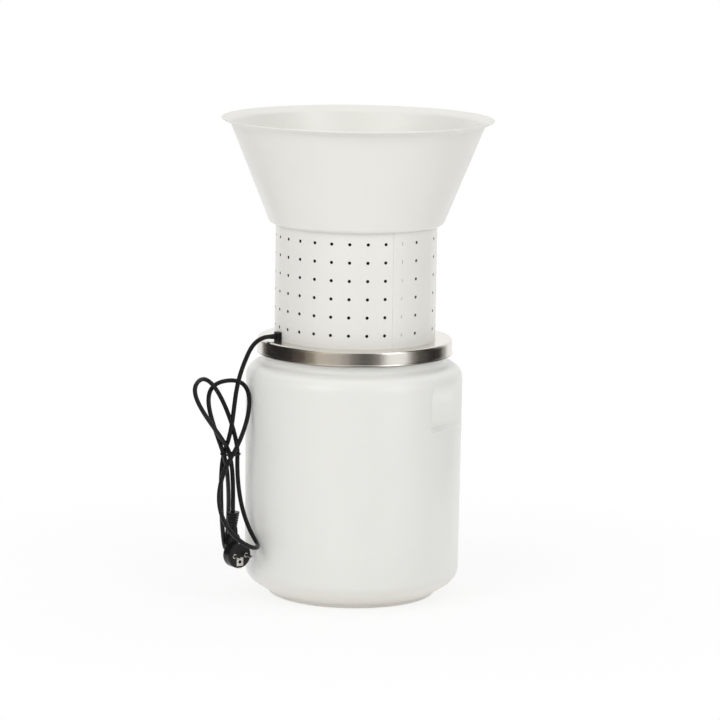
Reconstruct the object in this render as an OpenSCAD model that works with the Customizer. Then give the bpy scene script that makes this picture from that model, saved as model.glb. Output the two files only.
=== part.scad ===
// Electric grain mill: a hammer mill with its motor in a perforated housing, a funnel
// hopper above it, a collecting drum below it, and its mains cord tied up at the left.
// Millimetres. The floor is z = 0, the front looks towards -Y, and the drum, the pan,
// the housing and the hopper all turn about the Z axis.

/* [Drum] */
// Outer radius of the drum
drum_r = 154; // [146:1:162]
// Wall of the blown drum
drum_wall = 3; // [2:0.5:4]
// Radius of the round foot
foot_r = 120; // [100:1:124]
// Height of the foot
foot_h = 5; // [3:0.5:8]
// Radius of the hollow moulded up into the foot
foot_hollow_r = 100; // [60:1:108]
// Radius of the flat pad in the middle of that hollow
foot_pad_r = 30; // [15:1:50]
// Depth of that hollow
foot_hollow = 1.5; // [0.5:0.1:2]
// Rounding between the drum's wall and its underside
base_round = 30; // [15:1:33]
// Rounding of the shoulder
shoulder_round = 23; // [12:1:30]
// Height of the shoulder above the floor
shoulder_z = 336; // [300:1:380]
// Outer radius of the neck
neck_r = 131; // [126:1:136]
// Height of the neck above the shoulder
neck_h = 30; // [26:1:40]
// Rounding where the neck leaves the shoulder
neck_fillet = 6; // [3:1:9]
// How far the neck's bead stands out
bead_out = 4; // [2:0.5:5]
// Height from the bead's middle up to the rim
bead_drop = 10; // [8:0.5:12]

/* [Grips] */
// Direction of the right grip, in degrees from +X
grip_dir = -27.5; // [-45:0.5:-10]
// Width of a grip round the drum
grip_w = 88; // [60:1:110]
// Height of a grip at the drum's surface
grip_h = 48; // [36:1:60]
// Height of the grip's lower lip above the floor
grip_z = 250; // [180:1:255]
// Depth of a grip
grip_depth = 16; // [8:0.5:20]
// How far the grip's roof rises from its back to its mouth
grip_roof_rise = 12; // [4:1:16]
// How far the grip's lip falls from its back to its mouth
grip_lip_fall = 5; // [2:1:10]

/* [Pan lid] */
// Sheet of the pan
pan_t = 1; // [0.6:0.1:1.5]
// Height of the pan's skirt
pan_h = 22; // [21:0.5:26]
// Rounding of the pan's edge
pan_round = 4; // [3:0.5:8]
// Thickness of the rolled edge
roll_d = 4; // [3:0.5:5]
// How far the rolled edge stands out of the skirt
roll_proud = 0.7; // [0.3:0.1:1.2]
// Gap between the neck's bead and the rolled edge
skirt_gap = 1.2; // [0.6:0.1:2.5]
// Height of the rubber seal
seal_h = 4; // [2:0.5:6]
// Width of the rubber seal
seal_w = 4.5; // [3.5:0.5:7]

/* [Housing] */
// Outer radius of the housing
housing_r = 115; // [112:1:122]
// Height of the housing
housing_h = 164; // [158:1:190]
// Sheet of the housing
sheet_t = 1; // [0.8:0.1:1.5]
// Diameter of the holes in the housing
hole_d = 4.6; // [2.5:0.1:6]
// Number of columns of holes
hole_cols = 28; // [24:1:32]
// Height from one row of holes to the next
hole_pitch = 25.8; // [22:0.1:30]
// Height of the first row above the pan
first_row = 18.7; // [17:0.1:22]
// Direction of the first column, in degrees from the front
first_col = -4.47; // [-6:0.01:6]
// Width of the blind slits where the two layers of sheet don't line up
slit_w = 1.2; // [0.6:0.1:2]
// Upright leg of the angle ring at the housing's foot
ring_leg = 14; // [12:0.5:15]
// Sheet of the angle ring
ring_t = 2; // [1.5:0.1:3]

/* [Hopper] */
// Radius of the hopper's flat floor
hopper_floor_r = 118; // [116:1:126]
// Rounding between the hopper's floor and its wall
hopper_round = 8; // [5:0.5:12]
// Slope of the hopper's wall away from upright
hopper_flare = 22; // [16:0.5:28]
// Height of the hopper over all
hopper_h = 150; // [120:1:180]
// Radius of the hopper's lip
lip_r = 193.75; // [192:0.25:205]
// Slope of the lip above level
lip_rise = 24; // [10:1:35]
// Rounding between the wall and the lip
lip_round = 7; // [4:0.5:10]
// Wall of the hopper
hopper_t = 2.4; // [1.8:0.1:3]
// Sheet of the deck under the hopper
deck_t = 2.5; // [2:0.1:4]
// Flange of the deck inside the housing
deck_flange = 10; // [8:0.5:11]

/* [Feed] */
// Bore of the feed hole and its tube
feed_d = 36; // [28:1:38]
// Wall of the feed tube
tube_t = 2; // [1.5:0.1:3]
// Sheet of the feed gate
gate_t = 2; // [1.5:0.1:3]
// How far the gate laps over the feed hole on each side
gate_lap = 9; // [6:0.5:12]
// Travel of the gate past the feed hole's far edge
gate_over = 2; // [1:0.5:4]
// Height of the gate's handle tab
tab_h = 18; // [12:1:22]
// Gap between the gate and its rails
gate_gap = 0.3; // [0.2:0.05:0.6]

/* [Motor] */
// Gap between the motor and the feed tube
tube_gap = 6; // [4:0.5:8]
// Gap between the shaft's end and the deck
top_gap = 11.5; // [8:0.5:14]
// Depth of the stator round the rotor
pole_depth = 23; // [22:0.5:26]
// Air gap between rotor and stator
air_gap = 0.5; // [0.3:0.1:1]
// Radius of the shaft
shaft_r = 6; // [5:0.25:7]
// Radial clearance of the shaft in its bearings
bearing_fit = 0.03; // [0.01:0.01:0.1]
// Outer radius of the lower bearing
low_bearing_r = 16; // [15:0.5:18]
// Height of the lower bearing
low_bearing_h = 10; // [8:0.5:11]
// Outer radius of the upper bearing
top_bearing_r = 14; // [13:0.5:16]
// Height of the upper bearing
top_bearing_h = 8; // [7:0.5:9]
// Radius of the commutator
comm_r = 13; // [11:0.5:14]
// Side of a carbon brush
brush_side = 6; // [5:0.5:7]
// Radius of the cooling fan
fan_r = 38; // [30:1:46]
// Number of fan blades
fan_blades = 9; // [7:1:12]
// Radius of the capacitor
cap_r = 15; // [12:0.5:17]
// Height of the capacitor
cap_h = 55; // [40:1:65]

/* [Grinding chamber] */
// How far the sieve ring stands inside the housing's wall
chamber_in = 15; // [14:0.5:21]
// Depth of the chamber under the pan
chamber_h = 60; // [56:1:62]
// Sheet of the sieve ring
sieve_t = 1; // [0.8:0.1:1.5]
// Number of slots in the sieve ring
sieve_slots = 36; // [24:1:48]
// Width of a sieve slot
slot_w = 2.4; // [1:0.1:3]
// Sheet of the chamber's floor
floor_t = 3; // [2:0.5:4]
// Gap between the beater's tip and the sieve ring
beater_gap = 7; // [4:0.5:12]
// Width of the beater bar
beater_w = 22; // [16:1:28]
// Thickness of the beater bar
beater_t = 6; // [4:0.5:8]

/* [Switch] */
// Height of the switch's bezel
bezel_h = 31; // [28:0.5:34]
// Width of the switch's bezel
bezel_w = 22; // [20:0.5:23]
// Depth of the switch inside the housing
switch_depth = 26; // [22:0.5:28]
// Tilt of the rocker each way, in degrees
rocker_tilt = 9; // [6:0.5:10]

/* [Cord] */
// Diameter of the cord
cord_d = 6.4; // [6:0.1:6.8]
// Height of the cord's middle above the pan where it leaves the housing
cord_rise = 6; // [4.2:0.1:7]
// Length of the relief's snout outside its block
snout_l = 8; // [6:0.5:9]
// Depth of the relief's block
gland_depth = 7; // [5:0.5:8]
// Length of the relief inside the housing
shank_l = 9; // [6:0.5:12]

/* [Plug] */
// Diameter of the plug's round body
plug_d = 37; // [34:0.5:39]
// Depth of the plug's round body
plug_depth = 17; // [15:0.5:20]
// Depth from the plug's face to the back of the block that carries the cord's neck
back_depth = 25; // [22:0.5:28]
// Length of the pins
pin_l = 19; // [17:0.5:20]
// Diameter of the pins
pin_d = 4.8; // [4:0.1:5]
// Distance between the pins
pin_gap = 19; // [17:0.5:20]

/* [Hidden] */
$fn = 64;
// Overshoot of a cut past the face it opens
eps = 1;
// Clearance of parts that pass through a hole on the same body
slip = 0.2;

// Heights
neck_top = shoulder_z + neck_h;
pan_under = neck_top + seal_h;
pan_top = pan_under + pan_t;
skirt_z = pan_top - pan_h;
housing_top = pan_top + housing_h;
hopper_floor_z = housing_top + hopper_t;
hopper_top = housing_top + hopper_h;

// Drum
base_z = foot_h + base_round;
base_cx = drum_r - base_round;
shoulder_cz = shoulder_z - shoulder_round;
shoulder_cx = drum_r - shoulder_round;
fillet_cx = neck_r + neck_fillet;
fillet_cz = shoulder_cz + sqrt(pow(shoulder_round + neck_fillet, 2) - pow(fillet_cx - shoulder_cx, 2));
foot_edge = 3;
bead_z = neck_top - bead_drop;
grip_back_r = drum_r - grip_depth;
grip_half = grip_w / 2 / drum_r * 180 / PI;
grip_dirs = [grip_dir, 180 + grip_dir];

// Pan lid
roll_cx = neck_r + bead_out + skirt_gap + roll_d / 2;
skirt_r = roll_cx + roll_d / 2 - roll_proud;
roll_cz = skirt_z + roll_d / 2;

// Housing
inner_r = housing_r - sheet_t;
col_step = 360 / hole_cols;
lap_from = 2.45;
lap_to = 5.5;
slit_col = 3;
bare_col = 5;
switch_col = 17;
switch_row = 2;
row_margin = 16;
hole_rows = floor((housing_h - first_row - row_margin) / hole_pitch) + 1;
ring_r = inner_r - slip / 2;
screw_dirs = [20, 92, 160];
screw_d = 4;
screw_drop = 7;
function col_dir(i) = first_col + i * col_step - 90;
function row_z(j) = pan_top + first_row + j * hole_pitch;

// Chamber, and the bolts that hang it from the pan
bolt_d = 5;
bolt_out = 6;
chamber_r = housing_r - chamber_in;
bolt_r = chamber_r + bolt_out;
chamber_floor_r = bolt_r + bolt_out;
ring_foot_r = bolt_r - bolt_d;
bolt_dirs = [30, 120, 240, 330];
floor_z = pan_under - chamber_h;
sieve_in = chamber_r - sieve_t;
beater_r = sieve_in - beater_gap;

// Feed
tube_r = feed_d / 2 + tube_t;
feed_in = 6;
feed_y = chamber_r - feed_d / 2 - feed_in;
tube_flange_r = tube_r + 3;
gate_w = feed_d + 2 * gate_lap;
gate_rear = 6;
gate_front = 28;
gate_back = feed_y + feed_d / 2 + gate_rear;
gate_l = feed_d + gate_rear + gate_front;
gate_travel = gate_back - (feed_y - feed_d / 2) + gate_over;
gate_z = hopper_floor_z + gate_gap;
rail_w = 4;
rail_lip = 3;
rail_t = 1.5;
rail_over = 2;
rail_front = gate_back - gate_l - gate_travel - rail_over;

// Motor, from the pan upwards
foot_plate = 4;
motor_foot_h = 30;
cap_cup_h = 35;
fan_lift = 3;
fan_h = 12;
shaft_out = 2;
core_h = housing_h - motor_foot_h - cap_cup_h - top_bearing_h - fan_lift - fan_h - shaft_out - top_gap - deck_t;
motor_r = feed_y - tube_r - tube_gap;
rotor_r = motor_r - pole_depth;
cup_wall = 8;
cup_in = motor_r - cup_wall;
seal_t = 6;
felt_r = 14;
low_bearing_z = pan_top + seal_t + 4;
core_z = pan_top + motor_foot_h;
core_top = core_z + core_h;
cap_plate = 4;
cap_plate_z = core_top + cap_cup_h - cap_plate;
top_bearing_z = core_top + cap_cup_h;
coil_end = 8;
coil_wall = 1;
coil_lip = 2.5;
coil_r = cup_in - coil_wall;
coil_in = rotor_r + air_gap + coil_lip;
through_r = motor_r - cup_wall / 2;
through_dirs = [70, 110, 250, 290];
comm_z = core_top + 9;
comm_h = 16;
brush_z = comm_z + comm_h / 2;
holder_side = brush_side + 4;
// A holder is long enough for its brush and its spring
brush_l = 19;
spring_l = 22;
holder_wall = 2;
brush_out = comm_r + brush_l;
holder_end = brush_out + spring_l + holder_wall;
fan_z = top_bearing_z + top_bearing_h + fan_lift;
shaft_top = fan_z + fan_h + shaft_out;
hub_r = 14;
hub_z = floor_z + 22;
hub_h = 18;
nut_h = 9;
shaft_low = hub_z - nut_h - 2;

// Switch
switch_dir = col_dir(switch_col);
switch_z = row_z(switch_row);
bezel_t = 2;
frame_h = bezel_h - 4;
frame_w = bezel_w - 4;
rocker_h = frame_h - 4;
rocker_w = frame_w - 4;
pivot_in = 2;
rocker_gap = 0.3;

// Cord exit
gland_dir = 203;
gland_w = 12;
gland_h = 2 * cord_rise;
snout_r = 4;
snout_end_r = 3.4;
exit_z = pan_top + cord_rise;
exit_r = housing_r + gland_depth + snout_l;
cord_notch = 2 * snout_r + 0.4;

// Points of the free stretch of cord, from the relief's snout to the tied hank
lead_points = [
    [-127.4, -54.2, 376.4], [-133.2, -56.8, 374.4], [-138.8, -59, 370.8],
    [-144, -61, 365.4], [-148.6, -62.6, 358], [-152.8, -64.2, 348.6], [-157, -65.8, 338],
    [-160.9, -67.4, 326], [-164.2, -69, 313], [-166.8, -70.6, 299], [-168.8, -71.8, 283],
    [-170.6, -72.4, 267], [-172.6, -72, 252], [-174.9, -70.8, 240]
];

// Hank: five strands pass its waist, each [x, y, lean in x, lean in y] per mm of height,
// and four loops join them, each [far point, half width, reach down or up in, reach out].
waist_z = 211;
head_l = 12;
strands = [
    [-183, -68.5, 0.3, -0.04], [-183, -80, -0.32, 0], [-171, -86, 0.58, 0.26],
    [-164, -71, 0.02, 0], [-175, -73.5, -0.18, -0.42]
];
loops = [
    [[-179.5, -41.5, 73], [0.5, 66, 18.5], 33, 32],
    [[-179, -45.5, 312], [49.5, -1.5, 6], 48, 37],
    [[-134.5, -112.5, 84.5], [10, 43.5, -5], 88, 109],
    [[-220, -81, 316], [-19.5, -50.5, -14.5], 31.5, 27]
];
half_rings = 12;

// Plug: the cord comes down from above into a neck behind its face
plug_face = [-158, -93.9, 68.4];
plug_turn = -55;
neck_back = 20;
plug_in = [plug_face[0] - neck_back * cos(plug_turn), plug_face[1] - neck_back * sin(plug_turn)];
neck_low_r = 9;
neck_top_r = 6.6;
neck_low = plug_face[2] + 12;
relief_low = plug_face[2] + 38;
relief_top = relief_low + 22;

// Wire tie round the hank's waist
tie_wire = 1.6;
tie_wraps = 2;
tie_h = tie_wraps * tie_wire;
tie_squeeze = 0.1;

// Bezier curve and its pieces
function bezier(a, b, c, d, u) =
    a * pow(1 - u, 3) + b * 3 * u * pow(1 - u, 2) + c * 3 * u * u * (1 - u) + d * pow(u, 3);
function waist(k) = [strands[k][0], strands[k][1], waist_z];
function lean(k) = [strands[k][2], strands[k][3], 1];
function loop_start(k, side) = waist(k) + side * loops[k][2] * lean(k);
function loop_finish(k, side) = waist(k + 1) + side * loops[k][3] * lean(k + 1);
function loop_points(k, side, n) = concat(
    [for (i = [0:n - 1])
        bezier(waist(k), loop_start(k, side), loops[k][0] - loops[k][1], loops[k][0], i / n)],
    [for (i = [0:n - 1])
        bezier(loops[k][0], loops[k][0] + loops[k][1], loop_finish(k, side), waist(k + 1), i / n)]
);
tail_top = [plug_in[0], plug_in[1], relief_top + cord_d];
tail_rings = 6;
tail_points = [for (i = [0:tail_rings])
    bezier(waist(4), waist(4) - 30 * lean(4), tail_top + [0, 0, 30], tail_top, i / tail_rings)];
hank_points = concat(
    [waist(0) + head_l * lean(0)],
    loop_points(0, -1, half_rings), loop_points(1, 1, half_rings),
    loop_points(2, -1, half_rings), loop_points(3, 1, half_rings),
    tail_points, [[plug_in[0], plug_in[1], relief_top]]
);

// Least gap between the hank's turns, measured on points along the tube's own straight runs
function between(p, m) = concat(
    [for (i = [0:len(p) - 2]) for (j = [0:m - 1]) p[i] + (p[i + 1] - p[i]) * j / m], [p[len(p) - 1]]);
function lengths(p, i = 0, s = 0, out = []) =
    i == len(p) ? out : lengths(p, i + 1, s + (i < len(p) - 1 ? norm(p[i + 1] - p[i]) : 0), concat(out, [s]));
gap_points = between(hank_points, 4);
gap_along = lengths(gap_points);
hank_gap = min([for (i = [0:len(gap_points) - 2]) for (j = [i + 1:len(gap_points) - 1])
    if (gap_along[j] - gap_along[i] > 4 * cord_d) norm(gap_points[i] - gap_points[j])]) - cord_d;

// Round tube of straight runs along points: each ring stands square to the run through it
function unit(v) = v / norm(v);
function along(p, i) =
    i == 0 ? unit(p[1] - p[0])
    : i == len(p) - 1 ? unit(p[i] - p[i - 1])
    : unit(unit(p[i + 1] - p[i]) + unit(p[i] - p[i - 1]));
function square_to(v, t) = unit(v - (v * t) * t);
function sides_of(p, i = 0, v = [0.3, 0.9, 0.2], out = []) =
    i == len(p) ? out
    : let (w = square_to(v, along(p, i))) sides_of(p, i + 1, w, concat(out, [w]));
module cord_tube(p, d, n) {
    w = sides_of(p);
    // A ring at a bend is widened across the bend, so that its runs keep their thickness
    rings = [for (i = [0:len(p) - 1]) let (t = along(p, i), a = w[i], b = cross(t, a))
        for (k = [0:n - 1]) p[i] + d / 2 * (cos(360 * k / n) * a + sin(360 * k / n) * b)];
    walls = [for (i = [0:len(p) - 2]) for (k = [0:n - 1]) let (a = i * n + k, b = i * n + (k + 1) % n)
        each [[a, a + n, b], [b, a + n, b + n]]];
    last = (len(p) - 1) * n;
    ends = [for (k = [1:n - 2]) each [[0, k, k + 1], [last, last + k + 1, last + k]]];
    polyhedron(points = rings, faces = concat(walls, ends), convexity = 10);
}

// Helpers
module ring(r_out, r_in, h) {
    difference() {
        cylinder(r = r_out, h = h);
        translate([0, 0, -eps]) cylinder(r = r_in, h = h + 2 * eps);
    }
}
module at(dir, r, z = 0) {
    rotate([0, 0, dir]) translate([r, 0, z]) children();
}
module block(size) {
    translate([-size[0] / 2, -size[1] / 2, 0]) cube(size);
}
// Ring segment between two directions
module arc_ring(r_out, r_in, h, from, to) {
    rotate_extrude(angle = to - from, start = from) translate([r_in, 0]) square([r_out - r_in, h]);
}
// Cut profile of a bent sheet: corner points with a radius at each inner corner
function trim(a, b, c, r) = r * tan(acos(unit(b - a) * unit(c - b)) / 2);
function turn(a, b, c) = sign((b - a)[0] * (c - b)[1] - (b - a)[1] * (c - b)[0]);
function left(v) = [-v[1], v[0]];
module sheet(p, radii, t) {
    last = len(p) - 1;
    // The straight runs reach this far into the bends
    lap = 0.1;
    function cut(i) = i == 0 || i == last ? 0 : trim(p[i - 1], p[i], p[i + 1], radii[i]);
    for (i = [0:last - 1]) {
        u = unit(p[i + 1] - p[i]);
        a = p[i] + u * (cut(i) - (i == 0 ? 0 : lap));
        b = p[i + 1] - u * (cut(i + 1) - (i == last - 1 ? 0 : lap));
        n = left(u) * t / 2;
        polygon([a - n, b - n, b + n, a + n]);
    }
    for (i = [1:last - 1]) {
        u = unit(p[i] - p[i - 1]);
        w = unit(p[i + 1] - p[i]);
        s = turn(p[i - 1], p[i], p[i + 1]);
        a = p[i] - u * cut(i);
        b = p[i] + w * cut(i);
        c = a + left(u) * radii[i] * s;
        far = radii[i] + t;
        intersection() {
            difference() {
                translate(c) circle(r = radii[i] + t / 2);
                translate(c) circle(r = radii[i] - t / 2);
            }
            polygon([c, c + unit(a - c) * 2 * far, c + unit(p[i] - c) * 3 * far, c + unit(b - c) * 2 * far]);
        }
    }
}

// Drum
module drum_region(inset) {
    difference() {
        union() {
            translate([0, foot_h + inset]) square([base_cx, shoulder_z - foot_h - 2 * inset]);
            translate([0, base_z]) square([drum_r - inset, shoulder_cz - base_z]);
            translate([base_cx, base_z]) circle(r = base_round - inset);
            translate([0, shoulder_cz]) square([shoulder_cx, shoulder_round - inset]);
            translate([shoulder_cx, shoulder_cz]) circle(r = shoulder_round - inset);
            difference() {
                polygon([[0, shoulder_cz], [shoulder_cx, shoulder_cz], [fillet_cx, fillet_cz], [0, fillet_cz]]);
                translate([fillet_cx, fillet_cz]) circle(r = neck_fillet + inset);
            }
            translate([0, shoulder_cz]) square([neck_r - inset, neck_top - shoulder_cz + (inset > 0 ? eps : 0)]);
        }
        // Nothing left of the axis
        translate([-drum_r, 0]) square([drum_r, hopper_top]);
    }
}
module foot_region() {
    square([foot_r - foot_edge, foot_h + drum_wall]);
    translate([0, foot_edge]) square([foot_r, foot_h + drum_wall - foot_edge]);
    translate([foot_r - foot_edge, foot_edge]) circle(r = foot_edge);
}
module grip_pocket(dir, grow) {
    back = grip_back_r - grow;
    mouth = drum_r + 8;
    spread = grip_half + grow / grip_back_r * 180 / PI;
    top = grip_z + grip_h + grow;
    low = grip_z - grow;
    slope_roof = grip_roof_rise / grip_depth;
    slope_lip = grip_lip_fall / grip_depth;
    rotate_extrude(angle = 2 * spread, start = dir - spread) polygon([
        [back, low + grip_lip_fall + slope_lip * grow], [back, top - grip_roof_rise - slope_roof * grow],
        [mouth, top + slope_roof * (mouth - drum_r)], [mouth, low - slope_lip * (mouth - drum_r)]
    ]);
}
module drum() {
    color("gainsboro") difference() {
        rotate_extrude() union() {
            drum_region(0);
            foot_region();
            translate([neck_r - drum_wall / 2, bead_z]) difference() {
                circle(r = bead_out + drum_wall / 2);
                translate([-2 * bead_out - 3 * drum_wall, -drum_r]) square([2 * bead_out + 3 * drum_wall, 2 * drum_r]);
            }
        }
        difference() {
            rotate_extrude() union() {
                drum_region(drum_wall);
                translate([0, drum_wall + foot_hollow]) square([foot_r - drum_wall, foot_h + drum_wall]);
            }
            for (dir = grip_dirs) grip_pocket(dir, drum_wall);
        }
        for (dir = grip_dirs) grip_pocket(dir, 0);
        translate([0, 0, -eps]) ring(foot_hollow_r, foot_pad_r, foot_hollow + eps);
    }
}
module drum_seal() {
    color("dimgray") translate([0, 0, neck_top]) ring(neck_r + 0.5, neck_r + 0.5 - seal_w, seal_h);
}

// Pan lid
module pan_region(inset) {
    cx = skirt_r - pan_round;
    cz = pan_top - pan_round;
    square_low = roll_cz - (inset > 0 ? roll_d + eps : 0);
    translate([0, square_low]) square([cx, pan_top - inset - square_low]);
    translate([0, square_low]) square([skirt_r - inset, cz - square_low]);
    translate([cx, cz]) circle(r = pan_round - inset);
}
module lid_pan() {
    color("silver") difference() {
        rotate_extrude() union() {
            difference() {
                pan_region(0);
                pan_region(pan_t);
            }
            translate([roll_cx, roll_cz]) circle(r = roll_d / 2);
        }
        translate([0, 0, pan_under - eps]) cylinder(r = shaft_r + 3, h = pan_t + 2 * eps);
        translate([0, feed_y, pan_under - eps]) cylinder(r = tube_r + slip / 2, h = pan_t + 2 * eps);
        for (dir = bolt_dirs) at(dir, bolt_r, pan_under - eps) cylinder(d = bolt_d + slip, h = pan_t + 2 * eps);
        for (dir = through_dirs) at(dir, through_r, pan_under - eps) cylinder(d = bolt_d + slip, h = pan_t + 2 * eps);
    }
}

// Housing: a rolled sheet whose ends lap, with its columns of holes
module housing_hole(i, j) {
    at(col_dir(i), housing_r - sheet_t - eps, row_z(j)) rotate([0, 90, 0])
        cylinder(d = hole_d, h = 2 * sheet_t + 2 * eps);
}
module blind_slit(i, j) {
    at(col_dir(i), housing_r, row_z(j) - hole_d / 2) translate([-sheet_t / 4, -slit_w / 2, 0])
        cube([2 * sheet_t, slit_w, hole_d]);
}
module housing() {
    color("whitesmoke") difference() {
        union() {
            translate([0, 0, pan_top]) ring(housing_r, inner_r, housing_h);
            translate([0, 0, pan_top]) arc_ring(housing_r + sheet_t, inner_r + sheet_t / 2, housing_h,
                col_dir(lap_from), col_dir(lap_to));
        }
        for (i = [0:hole_cols - 1]) for (j = [0:hole_rows - 1]) {
            if (i == slit_col) blind_slit(i, j);
            if (i != slit_col && i != bare_col && !(i == switch_col && j == switch_row)) housing_hole(i, j);
        }
        at(switch_dir, inner_r - eps, switch_z - frame_h / 2 - slip / 2)
            translate([-eps, -frame_w / 2 - slip / 2, 0]) cube([10, frame_w + slip, frame_h + slip]);
        at(gland_dir, inner_r, pan_top - eps) translate([-5, -cord_notch / 2, 0]) cube([15, cord_notch, cord_rise + eps]);
        at(gland_dir, inner_r - 5, exit_z) rotate([0, 90, 0]) cylinder(d = cord_notch, h = 15);
        for (dir = screw_dirs) for (z = [pan_top + screw_drop, housing_top - screw_drop])
            at(dir, inner_r - eps, z) rotate([0, 90, 0]) cylinder(d = screw_d, h = 2 * sheet_t + 2 * eps);
    }
}
module housing_ring() {
    color("silver") difference() {
        translate([0, 0, pan_top]) rotate_extrude() union() {
            translate([ring_r - ring_t, 0]) square([ring_t, ring_leg]);
            translate([ring_foot_r, 0]) square([ring_r - ring_foot_r, ring_t]);
        }
        for (dir = bolt_dirs) at(dir, bolt_r, pan_top - eps) cylinder(d = bolt_d + slip, h = ring_t + 2 * eps);
        for (dir = screw_dirs) at(dir, ring_r - ring_t - eps, pan_top + screw_drop) rotate([0, 90, 0])
            cylinder(d = screw_d, h = ring_t + 2 * eps);
        at(gland_dir, ring_foot_r - eps, pan_top - eps) translate([0, -cord_notch / 2, 0])
            cube([housing_r - ring_foot_r + eps, cord_notch, cord_rise + cord_notch / 2 + eps]);
    }
}
module housing_screws() {
    color("silver") for (dir = screw_dirs) for (z = [pan_top + screw_drop, housing_top - screw_drop])
        at(dir, ring_r - ring_t - 3, z) rotate([0, 90, 0]) {
            cylinder(d = screw_d, h = 3 + ring_t + slip / 2 + sheet_t);
            translate([0, 0, 3 + ring_t + slip / 2 + sheet_t]) cylinder(d = 2 * screw_d - 1, h = 2);
        }
}
module top_deck() {
    color("silver") difference() {
        translate([0, 0, housing_top - deck_t]) union() {
            cylinder(r = ring_r, h = deck_t);
            translate([0, 0, -deck_flange]) ring(ring_r, ring_r - ring_t, deck_flange);
        }
        translate([0, feed_y, housing_top - deck_t - eps]) cylinder(r = tube_r + slip / 2, h = deck_t + 2 * eps);
        hopper_screw_holes();
        for (dir = screw_dirs) at(dir, ring_r - ring_t - eps, housing_top - screw_drop) rotate([0, 90, 0])
            cylinder(d = screw_d, h = ring_t + 2 * eps);
    }
}

// Hopper
hopper_screw_dirs = [45, 135, 225, 315];
hopper_screw_in = 14;
hopper_screw_r = inner_r - hopper_screw_in;
module hopper_screw_holes() {
    for (dir = hopper_screw_dirs) at(dir, hopper_screw_r, housing_top - deck_t - eps)
        cylinder(d = bolt_d, h = deck_t + hopper_t + 2 * eps);
}
module hopper() {
    mid = housing_top + hopper_t / 2;
    // The floor and the wall meet where their middles cross
    foot_x = hopper_floor_r + (hopper_round - hopper_t / 2) * tan((90 - hopper_flare) / 2);
    lip_mid = hopper_top - hopper_t / 2;
    // Height of the corner where the wall turns out into the lip
    lip_x = (lip_r - foot_x + (lip_mid - mid) * -tan(hopper_flare)) / (1 - tan(lip_rise) * tan(hopper_flare));
    corner_z = lip_mid - lip_x * tan(lip_rise);
    corner_x = lip_r - lip_x;
    color("whitesmoke") difference() {
        rotate_extrude() union() {
            sheet(
                [[0, mid], [foot_x, mid], [corner_x, corner_z], [lip_r - hopper_t / 2, lip_mid]],
                [0, hopper_round - hopper_t / 2, lip_round, 0], hopper_t
            );
            translate([lip_r - hopper_t / 2, lip_mid]) circle(d = hopper_t);
        }
        translate([0, feed_y, housing_top - eps]) cylinder(d = feed_d, h = hopper_t + 2 * eps);
        hopper_screw_holes();
    }
}
module hopper_screws() {
    color("silver") for (dir = hopper_screw_dirs) at(dir, hopper_screw_r, housing_top - deck_t - 4) {
        cylinder(d = bolt_d, h = 4 + deck_t + hopper_t);
        translate([0, 0, 4 + deck_t + hopper_t]) cylinder(d = 2 * bolt_d, h = 2.5);
        cylinder(d = 1.8 * bolt_d, h = 4, $fn = 6);
    }
}
module gate_rails() {
    leg_h = gate_t + 2 * gate_gap;
    rail_l = gate_back - rail_front;
    color("silver") for (s = [-1, 1]) scale_x(s) translate([0, rail_front, hopper_floor_z]) {
        translate([gate_w / 2 + gate_gap, 0, 0]) cube([rail_w, rail_l, leg_h + rail_t]);
        translate([gate_w / 2 - rail_lip, 0, leg_h]) cube([rail_lip + gate_gap + rail_w, rail_l, rail_t]);
    }
}
module scale_x(s) {
    if (s > 0) children();
    else mirror([1, 0, 0]) children();
}
module feed_gate() {
    color("gainsboro") translate([0, gate_back - gate_l, gate_z]) {
        translate([-gate_w / 2, 0, 0]) cube([gate_w, gate_l, gate_t]);
        tab_w = gate_w - 2 * (rail_lip + rail_over);
        translate([-tab_w / 2, 0, 0]) cube([tab_w, gate_t, tab_h]);
    }
}
module feed_tube() {
    color("silver") translate([0, feed_y, 0]) {
        translate([0, 0, pan_under]) ring(tube_r, feed_d / 2, housing_top - pan_under);
        translate([0, 0, pan_top]) ring(tube_flange_r, tube_r - tube_t / 2, 2);
    }
}

// Motor
module motor_foot() {
    color("darkgray") difference() {
        translate([0, 0, pan_top]) union() {
            ring(motor_r, cup_in, motor_foot_h);
            cylinder(r = motor_r, h = foot_plate);
            cylinder(r = low_bearing_r + 5, h = low_bearing_z - pan_top + low_bearing_h);
        }
        translate([0, 0, pan_top - eps]) cylinder(r = felt_r, h = seal_t + eps);
        translate([0, 0, pan_top]) cylinder(r = shaft_r + 3, h = low_bearing_z);
        translate([0, 0, low_bearing_z]) cylinder(r = low_bearing_r, h = low_bearing_h + eps);
        motor_bolt_holes(pan_top, motor_foot_h);
        for (k = [0:3]) at(45 + 90 * k - 10, 0, pan_top + foot_plate + 4)
            arc_ring(motor_r + eps, cup_in - eps, motor_foot_h - foot_plate - 8, 0, 16);
    }
}
module motor_bolt_holes(z, h) {
    for (dir = through_dirs) at(dir, through_r, z - eps) cylinder(d = bolt_d + slip, h = h + 2 * eps);
}
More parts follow.
